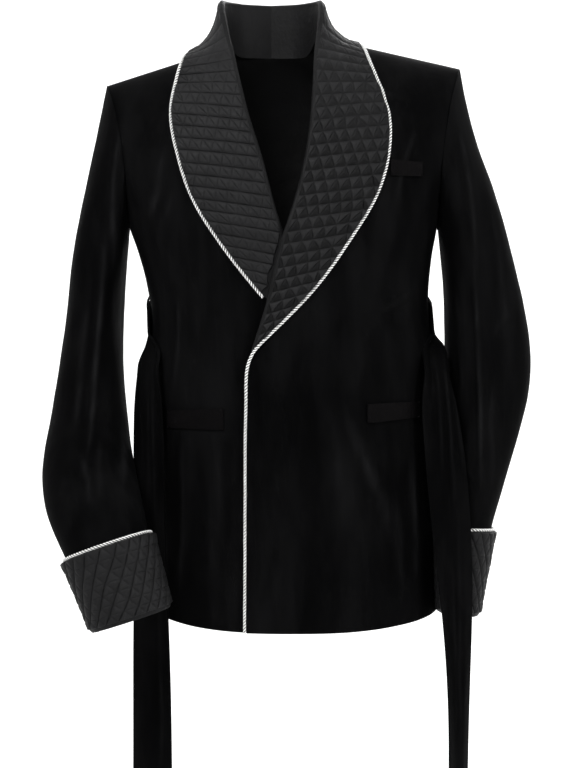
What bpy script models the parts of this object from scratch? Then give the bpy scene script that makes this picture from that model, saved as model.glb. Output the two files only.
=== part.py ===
"""A shawl-collared smoking jacket, hollow and shaped as it is worn: velvet fronts, back and
sleeves, a quilted satin collar and turned-back cuffs edged with cord, welt pockets, and a belt that
hangs untied from its side loops.

Metres, +Z up. The origin is midway between the shoulders at the base of the neck. The wearer faces
-Y, and the wearer's left is +X. Cloth is a thin wall: its outer points lie on the body's form, and
what lies on a panel is made from the same form, moved out."""

import math
from collections import namedtuple

import bmesh
import bpy
from mathutils import Vector
from mathutils.bvhtree import BVHTree

# Cloth and trim
VELVET = 0.002
SATIN = 0.0022
PILLOW = 0.0018
CORD_RADIUS = 0.002
SEAM = 0.0004
LAY = 0.0009
BELT_WIDTH = 0.052
BELT_THICKNESS = 0.0026

# How far the fronts' edges stay inside the collar's fold, and where the right lapel ends
TURN = 0.0024
RIGHT_END = 13.6

# Quilting: rows across the collar, and the spacing of the stitches along a row
QUILT_ROW = 0.0165
QUILT_BASE = 0.0142

# The body's form
SECTION_POWER = 2.5
ARMPIT = -0.236
HEM = -0.745
HEM_RISE = 0.020
SHOULDER_DEPTH = 0.008
SHOULDER_HALF = 0.2295
ARMPIT_HALF = 0.199
NECK_HALF = 0.07
NECK_DROP = 0.075
OVERLAP_LIFT = 0.0090
OVERLAP_EASE = 0.04
FRONT_ROUND = 1.0
BACK_ROUND = 0.8

# Rows and columns of the panels
LOWER_ROWS = 12
UPPER_ROWS = 9
FRONT_COLUMNS = 10
BACK_COLUMNS = 18

FRONT = -1
BACK = 1
LEFT = 1
RIGHT = -1
STEP = 1e-4

Level = namedtuple("Level", "height centre half_width front back")
BODY = [
    Level(-0.745, 0.0135, 0.1835, 0.118, 0.116),
    Level(-0.665, 0.0130, 0.1785, 0.117, 0.114),
    Level(-0.560, 0.0125, 0.1795, 0.116, 0.110),
    Level(-0.450, 0.012, 0.179, 0.113, 0.100),
    Level(-0.360, 0.010, 0.1785, 0.1145, 0.095),
    Level(-0.310, 0.006, 0.182, 0.118, 0.099),
    Level(-0.262, 0.002, 0.190, 0.1205, 0.105),
    Level(-0.236, 0.000, 0.199, 0.121, 0.107),
]

# The line that the collar leans along, as the form leans a little at the neck
Lean = namedtuple("Lean", "height centre")
CENTRE_LINE = [
    Lean(-0.745, 0.0021),
    Lean(-0.330, 0.0021),
    Lean(-0.250, 0.0005),
    Lean(-0.158, 0.0003),
    Lean(-0.096, -0.0048),
    Lean(-0.011, -0.0120),
    Lean(0.055, -0.0165),
]

# The collar from the centre back, round the neck and down the lapel. The fold and the outer edge
# are distances from the centre line, to the back and up. Below the neck they lie on the front.
Station = namedtuple("Station", "fold_x fold_y fold_z edge_x edge_y edge_z stand wrap bow on_front")
COLLAR = [
    Station(0.000, 0.066, 0.054, 0.000, 0.086, -0.010, 0.044, 1, 0, 0),
    Station(0.036, 0.057, 0.054, 0.052, 0.074, -0.008, 0.044, 1, -0.002, 0),
    Station(0.058, 0.034, 0.053, 0.087, 0.044, -0.004, 0.044, 1, -0.006, 0),
    Station(0.065, 0.004, 0.047, 0.104, 0.006, -0.004, 0.044, 1, -0.008, 0),
    Station(0.062, -0.022, 0.024, 0.111, -0.024, -0.014, 0.034, 1, -0.006, 0),
    Station(0.0555, -0.045, -0.010, 0.1165, -0.045, -0.026, 0.010, 1, -0.002, 0),
    Station(0.0495, -0.072, -0.055, 0.1255, -0.070, -0.054, 0.009, 1, 0, 1),
    Station(0.0415, -0.093, -0.105, 0.1350, -0.085, -0.094, 0.014, 1, 0, 1),
    Station(0.0295, -0.110, -0.158, 0.1305, -0.095, -0.146, 0.014, 1, 0, 1),
    Station(0.0165, -0.120, -0.210, 0.1165, -0.100, -0.195, 0.014, 1, 0, 1),
    Station(0.0096, -0.120, -0.2325, 0.1046, -0.1025, -0.218, 0.0015, 1, 0, 1),
    Station(0.0020, -0.120, -0.255, 0.0905, -0.105, -0.240, 0.0005, 0, 0, 1),
    Station(-0.0102, -0.120, -0.300, 0.0593, -0.110, -0.285, 0.0005, 0, 0, 1),
    Station(-0.0210, -0.120, -0.343, 0.0230, -0.115, -0.330, 0.0005, 0, 0, 1),
    Station(-0.0310, -0.120, -0.376, -0.0150, -0.118, -0.368, 0.0005, 0, 0, 1),
    Station(-0.0373, -0.120, -0.396, -0.0325, -0.118, -0.390, 0.0005, 0, 0, 1),
]

# How far each front's own edge is from the centre line: past it below the V, and along the
# collar's fold above it, up to the shoulder seam
Edge = namedtuple("Edge", "height own")
FRONT_EDGE = [
    Edge(-0.745, -0.0470),
    Edge(-0.460, -0.0465),
    Edge(-0.440, -0.0459),
    Edge(-0.421, -0.0440),
    Edge(-0.408, -0.0405),
    *(Edge(row.fold_z, row.fold_x + TURN) for row in reversed(COLLAR) if row.on_front),
    Edge(0.012, NECK_HALF),
]

# Sleeve rings: the point nearest the body and the point farthest out, seen from the front, then
# how far forward (-) or back (+) the ring's middle is and half its depth
Ring = namedtuple("Ring", "in_x in_z out_x out_z middle half_depth")
SLEEVES = {
    RIGHT: [
        Ring(-0.1996, -0.236, -0.2295, -0.047, 0.004, 0.066),
        Ring(-0.2010, -0.246, -0.2400, -0.095, 0.005, 0.070),
        Ring(-0.2035, -0.262, -0.2530, -0.160, 0.006, 0.073),
        Ring(-0.2055, -0.290, -0.2660, -0.225, 0.007, 0.075),
        Ring(-0.2080, -0.330, -0.2770, -0.290, 0.008, 0.074),
        Ring(-0.2090, -0.378, -0.2830, -0.350, 0.008, 0.071),
        Ring(-0.2070, -0.430, -0.2920, -0.415, 0.004, 0.067),
        Ring(-0.2010, -0.480, -0.3010, -0.482, -0.012, 0.062),
        Ring(-0.1930, -0.524, -0.3060, -0.545, -0.050, 0.056),
        Ring(-0.1830, -0.560, -0.2980, -0.592, -0.085, 0.050),
        Ring(-0.1730, -0.592, -0.2820, -0.627, -0.109, 0.044),
        Ring(-0.1660, -0.621, -0.2670, -0.655, -0.122, 0.040),
        Ring(-0.1570, -0.652, -0.2540, -0.685, -0.129, 0.038),
        Ring(-0.1480, -0.681, -0.2425, -0.712, -0.135, 0.037),
        Ring(-0.1420, -0.705, -0.2340, -0.735, -0.137, 0.036),
    ],
    LEFT: [
        Ring(0.1986, -0.236, 0.2295, -0.025, 0.004, 0.066),
        Ring(0.2010, -0.246, 0.2400, -0.080, 0.005, 0.070),
        Ring(0.2035, -0.260, 0.2560, -0.140, 0.006, 0.073),
        Ring(0.2060, -0.285, 0.2760, -0.190, 0.007, 0.075),
        Ring(0.2080, -0.322, 0.2930, -0.250, 0.008, 0.074),
        Ring(0.2090, -0.365, 0.3080, -0.310, 0.008, 0.071),
        Ring(0.2095, -0.405, 0.3200, -0.368, 0.006, 0.067),
        Ring(0.2080, -0.445, 0.3230, -0.425, 0.002, 0.063),
        Ring(0.2050, -0.490, 0.3120, -0.478, -0.004, 0.060),
        Ring(0.2010, -0.540, 0.2950, -0.535, -0.010, 0.057),
        Ring(0.2020, -0.585, 0.2800, -0.582, -0.014, 0.054),
        Ring(0.2040, -0.622, 0.2670, -0.624, -0.016, 0.052),
        Ring(0.2045, -0.655, 0.2610, -0.660, -0.017, 0.051),
        Ring(0.2048, -0.690, 0.2545, -0.695, -0.018, 0.050),
        Ring(0.2048, -0.722, 0.2490, -0.727, -0.018, 0.050),
    ],
}
SLEEVE_STEPS = 19
RING_TILT = 0.25
CUFF_TOP = 11.0
CUFF_ROWS = 7
CUFF_COLUMNS = 20
CUFF_FLARE = 0.0022
CUFF_EASE = 0.0018
CUFF_HEM = 0.0026
CUFF_FACING = 0.6

# Large soft folds of the fronts and back, from one end to the other, seen from the front
Fold = namedtuple("Fold", "side x0 z0 x1 z1 spread depth")
FOLDS = [
    Fold(FRONT, 0.020, -0.490, 0.100, -0.700, 0.030, -0.005),
    Fold(FRONT, 0.090, -0.400, 0.130, -0.330, 0.020, -0.004),
    Fold(FRONT, -0.100, -0.390, -0.150, -0.320, 0.018, -0.004),
    Fold(FRONT, -0.170, -0.090, -0.185, -0.150, 0.012, -0.004),
    Fold(FRONT, -0.090, -0.480, -0.070, -0.700, 0.028, -0.004),
    Fold(BACK, -0.060, -0.420, -0.085, -0.700, 0.030, -0.006),
    Fold(BACK, 0.080, -0.420, 0.100, -0.700, 0.032, -0.006),
    Fold(BACK, 0.010, -0.460, 0.000, -0.720, 0.030, -0.005),
    Fold(BACK, -0.120, -0.300, -0.020, -0.350, 0.018, -0.004),
    Fold(BACK, 0.130, -0.290, 0.030, -0.345, 0.018, -0.004),
]

# Folds along the sleeves: the angle round from the inner line, the stretch and the depth
SleeveFold = namedtuple("SleeveFold", "angle start end spread depth")
SLEEVE_FOLDS = {
    RIGHT: [
        SleeveFold(1.9, 2.0, 7.5, 0.22, 0.006),
        SleeveFold(1.1, 4.0, 9.0, 0.20, 0.005),
        SleeveFold(4.4, 3.0, 8.0, 0.24, 0.006),
        SleeveFold(0.5, 7.5, 9.5, 0.30, 0.006),
    ],
    LEFT: [
        SleeveFold(1.9, 2.0, 7.0, 0.20, 0.006),
        SleeveFold(1.0, 5.5, 8.5, 0.22, 0.006),
        SleeveFold(4.4, 3.0, 8.0, 0.24, 0.006),
        SleeveFold(0.3, 6.5, 8.5, 0.30, 0.005),
    ],
}

# The belt's hanging ends: the middle of the strip, the way its width points (degrees from +X
# towards +Y, seen from above), its width, and the depth of its gathers
Hang = namedtuple("Hang", "x y z turn width gather")
BELT_ENDS = {
    RIGHT: [
        Hang(-0.1735, -0.028, -0.384, -82, 0.036, 0.001),
        Hang(-0.1710, -0.048, -0.404, -60, 0.038, 0.003),
        Hang(-0.1700, -0.054, -0.430, -46, 0.042, 0.004),
        Hang(-0.1690, -0.057, -0.470, -41, 0.048, 0.003),
        Hang(-0.1680, -0.055, -0.530, -44, 0.052, 0.002),
        Hang(-0.1675, -0.057, -0.610, -42, 0.052, 0.002),
        Hang(-0.1680, -0.068, -0.700, -28, 0.052, 0.002),
        Hang(-0.1660, -0.070, -0.800, -18, 0.052, 0.002),
        Hang(-0.1650, -0.070, -0.900, -14, 0.052, 0.002),
        Hang(-0.1650, -0.070, -1.000, -12, 0.052, 0.001),
    ],
    LEFT: [
        Hang(0.1950, -0.028, -0.382, 80, 0.034, 0.001),
        Hang(0.1950, -0.052, -0.402, 44, 0.032, 0.003),
        Hang(0.1945, -0.068, -0.432, 16, 0.041, 0.005),
        Hang(0.1970, -0.075, -0.470, 8, 0.049, 0.004),
        Hang(0.2040, -0.080, -0.530, 4, 0.052, 0.003),
        Hang(0.2100, -0.086, -0.610, 2, 0.051, 0.003),
        Hang(0.2165, -0.090, -0.690, 10, 0.045, 0.003),
        Hang(0.2195, -0.090, -0.780, 36, 0.044, 0.003),
        Hang(0.2200, -0.088, -0.880, 52, 0.046, 0.002),
        Hang(0.2180, -0.086, -1.000, 56, 0.050, 0.001),
    ],
}
BELT_HEIGHT = -0.352
BELT_EASE = 0.0032
BELT_LOOP_HALF = 0.036
BELT_LOOP_WIDTH = 0.009
BELT_LOOP_THICKNESS = 0.0015

# Pocket welts, seen from the front: the inner end, the outer end, and the height at each
Welt = namedtuple("Welt", "name side x0 z0 x1 z1 height0 height1")
WELTS = [
    Welt("breast_welt", LEFT, 0.1335, -0.1660, 0.1745, -0.1660, 0.020, 0.018),
    Welt("hip_welt_right", RIGHT, -0.0740, -0.4800, -0.1450, -0.4800, 0.027, 0.022),
    Welt("hip_welt_left", LEFT, 0.1040, -0.4730, 0.1700, -0.4680, 0.024, 0.020),
]

MATERIALS = {
    "velvet": ((0.012, 0.012, 0.013), 0.9),
    "satin": ((0.045, 0.045, 0.05), 0.42),
    "cord": ((0.85, 0.85, 0.84), 0.6),
}


def smooth(rows, column, at, key=None):
    """A column's value between the rows of a table, on a smooth curve through them. The first
    column is the measure along the table, or the row's own number where key is 'row'."""
    if key == "row":
        places = range(len(rows))
    else:
        places = [row[0] for row in rows]
    values = [getattr(row, column) for row in rows]
    at = min(max(at, places[0]), places[-1])
    i = 0
    while i < len(rows) - 2 and at > places[i + 1]:
        i += 1
    span = places[i + 1] - places[i]
    t = (at - places[i]) / span
    before, after = max(i - 1, 0), min(i + 2, len(rows) - 1)
    slope0 = (values[i + 1] - values[before]) / (places[i + 1] - places[before]) * span
    slope1 = (values[after] - values[i]) / (places[after] - places[i]) * span
    return (
        values[i] * (1 + 2 * t) * (1 - t) ** 2
        + slope0 * t * (1 - t) ** 2
        + values[i + 1] * t * t * (3 - 2 * t)
        + slope1 * t * t * (t - 1)
    )


def power(value, exponent):
    return math.copysign(abs(value) ** exponent, value)


def ease(value):
    value = min(max(value, 0.0), 1.0)
    return value * value * (3 - 2 * value)


def shoulder_line(x):
    """Height of the shoulder seam, which rises to the neck and leans a little to one side."""
    return 0.0283 - 0.28 * (math.hypot(x, 0.03)) + 0.048 * x


def armhole_half(up):
    return ARMPIT_HALF + (SHOULDER_HALF - ARMPIT_HALF) * up**2.5


def armhole_share(up):
    """How deep the armhole's seam lies, as a share of the body's depth at that height."""
    return 0.62 * (1 - (1 - up) ** 5)


def upper_half(up):
    """Half width of the section that passes through the armhole seam."""
    share = armhole_share(up)
    return armhole_half(up) / (1 - share**SECTION_POWER) ** (1 / SECTION_POWER)


def upper_depth(side, up):
    """Depth at the centre, from the chest's full depth to nothing at the shoulder seam."""
    turn = FRONT_ROUND if side == FRONT else BACK_ROUND
    full = BODY[-1].front if side == FRONT else BODY[-1].back
    return full * max(1 - up ** (2 / turn), 0.0) ** (turn / 2)


def level(side, height):
    """The lower body's centre, half width and depth at a height."""
    depth = smooth(BODY, "front" if side == FRONT else "back", height)
    return smooth(BODY, "centre", height), smooth(BODY, "half_width", height), depth


def torso(side, angle, row):
    """A point of the body's form. The angle is from the centre to the side. Row runs from -1 at the
    hem through 0 at the armpits to 1 at the shoulder seam."""
    across, deep = power(math.sin(angle), 2 / SECTION_POWER), abs(math.cos(angle)) ** (2 / SECTION_POWER)
    if row >= 0:
        x = upper_half(row) * across
        y = SHOULDER_DEPTH * row + side * upper_depth(side, row) * deep
        return Vector((x, y, ARMPIT + (shoulder_line(x) - ARMPIT) * row))
    height = ARMPIT + (ARMPIT - HEM) * row
    centre, half, depth = level(side, height)
    rise = HEM_RISE * abs(across) ** 3 * ease(-2 * row - 1)
    return Vector((centre + half * across, side * depth * deep, height + rise))


def body_ratio(side, point):
    """1 on the body's form, less inside it and more outside."""
    x, y, z = point
    if z <= ARMPIT:
        centre, half, depth = level(side, max(z, HEM))
        return (abs((x - centre) / half) ** SECTION_POWER + abs(y / depth) ** SECTION_POWER) ** (
            1 / SECTION_POWER
        )
    up = (z - ARMPIT) / (shoulder_line(x) - ARMPIT)
    wide = abs(x) / upper_half(min(up, 1.0))
    narrowing = max(1 - wide**SECTION_POWER, 0.02) ** (1 / SECTION_POWER)
    turn = FRONT_ROUND if side == FRONT else BACK_ROUND
    depth = upper_depth(side, 0) * narrowing
    deep = abs(y - SHOULDER_DEPTH * min(up, 1.0)) / depth
    return (deep ** (2 / turn) + up ** (2 / turn)) ** (turn / 2)


def body_normal(side, point):
    """The body's outward normal, and the distance over which the ratio grows by 1."""
    steps = [Vector((STEP, 0, 0)), Vector((0, STEP, 0)), Vector((0, 0, STEP))]
    slope = Vector([body_ratio(side, point + s) - body_ratio(side, point - s) for s in steps]) / (2 * STEP)
    return slope.normalized(), 1 / max(slope.length, 1e-6)


def height_off(side, point):
    """Distance of a point outside the body's form, and the form's normal there."""
    normal, reach = body_normal(side, point)
    return (body_ratio(side, point) - 1) * reach, normal


def fold_depth(side, point):
    """How far the large folds move the cloth out (+) or in (-)."""
    total = 0.0
    for fold in FOLDS:
        if fold.side != side:
            continue
        start, end = Vector((fold.x0, fold.z0)), Vector((fold.x1, fold.z1))
        along = end - start
        share = (Vector((point.x, point.z)) - start).dot(along) / along.length_squared
        middle = start + along * share
        off = (Vector((point.x, point.z)) - middle).length
        total += fold.depth * math.exp(-((off / fold.spread) ** 2)) * ease(share * 2.5) * ease((1 - share) * 2.5)
    return total


def centre_at(height):
    return smooth(CENTRE_LINE, "centre", height)


def front_edge(hand, height):
    return centre_at(height) + hand * smooth(FRONT_EDGE, "own", height)


def overlap_lift(hand, point):
    """The left front lies on the right one and its lapel, and comes down to the body past them."""
    if hand == RIGHT:
        return 0.0
    under = front_edge(RIGHT, point.z) + 0.014
    full = OVERLAP_LIFT - 0.0046 * ease((-0.44 - point.z) / 0.05)
    return full * ease((under + OVERLAP_EASE - point.x) / OVERLAP_EASE)


def on_front(hand, x, height, out):
    """A point of a front seen at x and a height, out from the cloth's outer face."""
    centre, half, depth = level(FRONT, height)
    if height > ARMPIT:
        up = min((height - ARMPIT) / (shoulder_line(x) - ARMPIT), 0.999)
        narrowing = max(1 - (abs(x) / upper_half(up)) ** SECTION_POWER, 0.02) ** (1 / SECTION_POWER)
        y = SHOULDER_DEPTH * up - upper_depth(FRONT, up) * narrowing
    else:
        y = -depth * max(1 - abs((x - centre) / half) ** SECTION_POWER, 0.0) ** (1 / SECTION_POWER)
    point = Vector((x, y, height))
    normal = body_normal(FRONT, point)[0]
    return point + normal * (out + overlap_lift(hand, point) + fold_depth(FRONT, point))


def clear_of_body(hand, point, least):
    """The point itself, or moved out until it is the least distance from the cloth below it."""
    for _ in range(4):
        side = FRONT if point.y < SHOULDER_DEPTH else BACK
        off, normal = height_off(side, point)
        wanted = least + fold_depth(side, point)
        if side == FRONT:
            wanted += overlap_lift(hand, point)
        if off < wanted:
            point = point + normal * (wanted - off)
    return point


def cloth_tree(objects):
    """The cloth as it is built, to measure from."""
    points, faces = [], []
    for obj in objects:
        start = len(points)
        points += [vertex.co.copy() for vertex in obj.data.vertices]
        faces += [[start + i for i in polygon.vertices] for polygon in obj.data.polygons]
    return BVHTree.FromPolygons(points, faces)


def laid_on(tree, point, way, least, around=()):
    """The point moved the given way until it is the least distance from the built cloth, there and
    at the offsets around it."""
    reach = 0.02
    moves = []
    for offset in (Vector(), *around):
        beside = point + offset - way * offset.dot(way)
        hit = tree.ray_cast(beside + way * reach, -way, 2 * reach)[0]
        if hit:
            moves.append(least - (beside - hit).dot(way))
    return point + way * max(moves, default=0.0)


def clear_of(tree, point, way, least, around=()):
    """The point itself, or laid on the built cloth where it is nearer than the least distance."""
    laid = laid_on(tree, point, way, least, around)
    if (laid - point).dot(way) > 0:
        point = laid
    for _ in range(2):
        near = tree.find_nearest(point, least)[0]
        if near and (point - near).dot(way) > 0:
            point = near + (point - near).normalized() * least
    return point


# Making meshes


def material(kind):
    found = bpy.data.materials.get(kind)
    if found:
        return found
    found = bpy.data.materials.new(kind)
    colour, roughness = MATERIALS[kind]
    found.diffuse_color = (*colour, 1)
    found.use_nodes = True
    shader = found.node_tree.nodes["Principled BSDF"]
    shader.inputs["Base Color"].default_value = (*colour, 1)
    shader.inputs["Roughness"].default_value = roughness
    shader.inputs["Metallic"].default_value = 0.0
    return found


def add_object(name, kind, shape, collection):
    """Closes a bmesh into an object with its normals out."""
    bmesh.ops.recalc_face_normals(shape, faces=shape.faces)
    mesh = bpy.data.meshes.new(name)
    shape.to_mesh(mesh)
    shape.free()
    mesh.materials.append(material(kind))
    obj = bpy.data.objects.new(name, mesh)
    collection.objects.link(obj)
    if mesh.polygons:
        mesh.shade_smooth()
    return obj


def loft(shape, first, second, closed):
    """Quads between two rows of vertices that pair up."""
    count = len(first)
    for i in range(count if closed else count - 1):
        j = (i + 1) % count
        shape.faces.new((first[i], first[j], second[j], second[i]))


def wall(name, kind, outer, inner, collection, tube=False):
    """A closed wall between an outer and an inner grid of points, open or round like a tube."""
    shape = bmesh.new()
    faces = [[[shape.verts.new(point) for point in row] for row in grid] for grid in (outer, inner)]
    for grid in faces:
        for first, second in zip(grid, grid[1:]):
            loft(shape, first, second, tube)
    for row in (0, -1):
        loft(shape, faces[0][row], faces[1][row], tube)
    if not tube:
        for column in (0, -1):
            loft(shape, [row[column] for row in faces[0]], [row[column] for row in faces[1]], False)
    return add_object(name, kind, shape, collection)


def zip_rows(shape, first, second, closed, raise_by=None):
    """Triangles between two rows of (place along the row, vertex), each raised at its middle where
    raise_by gives a height for it."""
    if closed:
        first = first + [(first[0][0] + 1, first[0][1])]
        second = second + [(second[0][0] + 1, second[0][1])]
    i = j = 0
    while i < len(first) - 1 or j < len(second) - 1:
        last_first, last_second = i == len(first) - 1, j == len(second) - 1
        if last_second or (not last_first and first[i + 1][0] <= second[j + 1][0]):
            corners = (first[i][1], first[i + 1][1], second[j][1])
            i += 1
        else:
            corners = (first[i][1], second[j + 1][1], second[j][1])
            j += 1
        middle = sum((corner.co for corner in corners), Vector()) / 3
        rise = raise_by(corners, middle) if raise_by else None
        if rise is None:
            shape.faces.new(corners)
            continue
        top = shape.verts.new(middle + rise)
        for k in range(3):
            shape.faces.new((corners[k], corners[(k + 1) % 3], top))


def pillow_rise(corners, outward, full_area):
    """How far a quilted triangle's middle is puffed out: less where the triangle is small."""
    a, b, c = (corner.co for corner in corners)
    normal = (b - a).cross(c - a)
    share = normal.length / 2 / full_area
    if share < 0.3:
        return None
    if normal.dot(outward) < 0:
        normal.negate()
    return normal.normalized() * PILLOW * min(share, 1.0)


# Fronts and back


def panel_rows():
    lower = [-1 + i / LOWER_ROWS for i in range(LOWER_ROWS)]
    upper = [math.sin(math.pi / 2 * i / UPPER_ROWS) for i in range(UPPER_ROWS)]
    return lower + upper + [1.0]


def angle_at(side, x, row):
    """The section angle of a place across the body."""
    if row >= 0:
        centre, half = 0.0, upper_half(row)
    else:
        centre, half, _ = level(side, ARMPIT + (ARMPIT - HEM) * row)
    return math.asin(min(max(power((x - centre) / half, SECTION_POWER / 2), -1.0), 1.0))


def side_angle(side, row):
    """The section angle at the armhole, or at the side seam below it."""
    if row <= 0:
        return math.pi / 2
    return angle_at(side, armhole_half(row), row)


def edge_angle(hand, row):
    """The section angle of a front's own edge, which follows a line seen from the front."""
    x = front_edge(hand, ARMPIT)
    for _ in range(12):
        if row >= 0:
            height = ARMPIT + (shoulder_line(x) - ARMPIT) * row
        else:
            height = ARMPIT + (ARMPIT - HEM) * row
        x = front_edge(hand, height)
    return angle_at(FRONT, x, row)


def panel_point(side, hand, angle, row):
    """Outer and inner points of the cloth, clear of the panel across the side or shoulder seam."""
    point = torso(side, angle, row)
    normal = body_normal(side, point)[0]
    lift = fold_depth(side, point)
    if side == FRONT:
        lift += overlap_lift(hand, point)
    if abs(abs(angle) - math.pi / 2) < 1e-6 or row == 1.0:
        normal.y = 0
        normal.normalize()
        lift = 0.0
    outer = point + normal * lift + Vector((0, side * SEAM / 2, 0))
    return outer, outer - normal * VELVET


def make_front(hand, collection):
    outer, inner = [], []
    for row in panel_rows():
        start, end = edge_angle(hand, row), hand * side_angle(FRONT, row)
        angles = [start + (end - start) * i / FRONT_COLUMNS for i in range(FRONT_COLUMNS + 1)]
        points = [panel_point(FRONT, hand, angle, row) for angle in angles]
        outer.append([pair[0] for pair in points])
        inner.append([pair[1] for pair in points])
    name = "front_left" if hand == LEFT else "front_right"
    return wall(name, "velvet", outer, inner, collection)


def neck_scale(x):
    """How the back's upper rows are drawn down to the neckline, which dips between the shoulders."""
    centre = centre_at(0.0)
    share = min(abs(x - centre) / NECK_HALF, 1.0)
    return 1 - NECK_DROP * math.sqrt(1 - share * share)


def make_back(collection):
    outer, inner = [], []
    for row in panel_rows():
        end = side_angle(BACK, row)
        angles = [end * (2 * i / BACK_COLUMNS - 1) for i in range(BACK_COLUMNS + 1)]
        outer_row, inner_row = [], []
        for angle in angles:
            place = row
            if row > 0:
                place = row * neck_scale(upper_half(row) * power(math.sin(angle), 2 / SECTION_POWER))
            pair = panel_point(BACK, LEFT, angle, place)
            outer_row.append(pair[0])
            inner_row.append(pair[1])
        outer.append(outer_row)
        inner.append(inner_row)
    return wall("back", "velvet", outer, inner, collection)


# Sleeves


def armhole_loop(hand):
    """The armhole's seam, from the armpit up the front, over the shoulder and down the back."""
    rows = [row for row in panel_rows() if row >= 0]
    front = [torso(FRONT, hand * side_angle(FRONT, row), row) for row in rows]
    back = [torso(BACK, hand * side_angle(BACK, row), row) for row in rows]
    return front + back[-2:0:-1]


def ring_frame(hand, place):
    """The middle of a sleeve's ring, the half across it and the half depth."""
    rows = SLEEVES[hand]
    value = {column: smooth(rows, column, place, "row") for column in Ring._fields}
    inside = Vector((value["in_x"], value["middle"], value["in_z"]))
    outside = Vector((value["out_x"], value["middle"], value["out_z"]))
    return (inside + outside) / 2, (outside - inside) / 2, value["half_depth"]


def sleeve_point(hand, place, angle):
    """A point of a sleeve's form. The angle is 0 on the inner line and grows towards the front."""
    middle, half, depth = ring_frame(hand, place)
    last = len(SLEEVES[hand]) - 1
    along = ring_frame(hand, min(place + 0.2, last))[0] - ring_frame(hand, max(place - 0.2, 0))[0]
    forward = along.cross(half)
    if forward.y > 0:
        forward.negate()
    forward.z *= RING_TILT
    forward = forward.normalized() * depth
    point = (
        middle
        - half * power(math.cos(angle), 0.88)
        + forward * power(math.sin(angle), 0.88)
    )
    for fold in SLEEVE_FOLDS[hand]:
        away = (angle - fold.angle) / fold.spread
        share = (place - fold.start) / (fold.end - fold.start)
        if 0 < share < 1:
            inwards = (middle - point).normalized()
            point += inwards * fold.depth * math.exp(-away * away) * ease(share * 3) * ease((1 - share) * 3)
    return point


def sleeve_normal(hand, place, angle):
    last = len(SLEEVES[hand]) - 1
    high, low = min(place + 0.05, last), max(place - 0.05, 0)
    along = sleeve_point(hand, high, angle) - sleeve_point(hand, low, angle)
    around = sleeve_point(hand, place, angle + 0.02) - sleeve_point(hand, place, angle - 0.02)
    normal = along.cross(around).normalized()
    outwards = sleeve_point(hand, place, angle) - ring_frame(hand, place)[0]
    return normal if normal.dot(outwards) > 0 else -normal


def make_sleeve(hand, collection):
    loop = armhole_loop(hand)
    count = len(loop)
    angles = [2 * math.pi * i / count for i in range(count)]
    last = len(SLEEVES[hand]) - 1
    outer, inner = [], []
    for step in range(SLEEVE_STEPS + 1):
        place = last * (step / SLEEVE_STEPS) ** 1.05
        share = 1 - ease(place / 3)
        outer_row, inner_row = [], []
        for i, angle in enumerate(angles):
            point = sleeve_point(hand, place, angle)
            normal = sleeve_normal(hand, max(place, 0.3), angle)
            if share > 0:
                point += (loop[i] - sleeve_point(hand, 0, angle)) * share
            if step == 0:
                point = loop[i] + Vector((hand * SEAM, 0, 0))
                if hand * normal.x > 0:
                    normal.x = 0
                    normal.normalize()
            outer_row.append(point)
            inner_row.append(point - normal * VELVET)
        outer.append(outer_row)
        inner.append(inner_row)
    name = "sleeve_left" if hand == LEFT else "sleeve_right"
    wall(name, "velvet", outer, inner, collection, tube=True)


def cuff_ring(hand, place, out, shift, past=0.0):
    """A ring round a sleeve, out from its cloth, its points shifted round by a part of a step."""
    last = len(SLEEVES[hand]) - 1
    along = (ring_frame(hand, last)[0] - ring_frame(hand, last - 0.5)[0]).normalized()
    ring = []
    for i in range(CUFF_COLUMNS):
        angle = 2 * math.pi * (i + shift) / CUFF_COLUMNS
        normal = sleeve_normal(hand, place, angle)
        ring.append(sleeve_point(hand, place, angle) + normal * out + along * past)
    return ring


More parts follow.
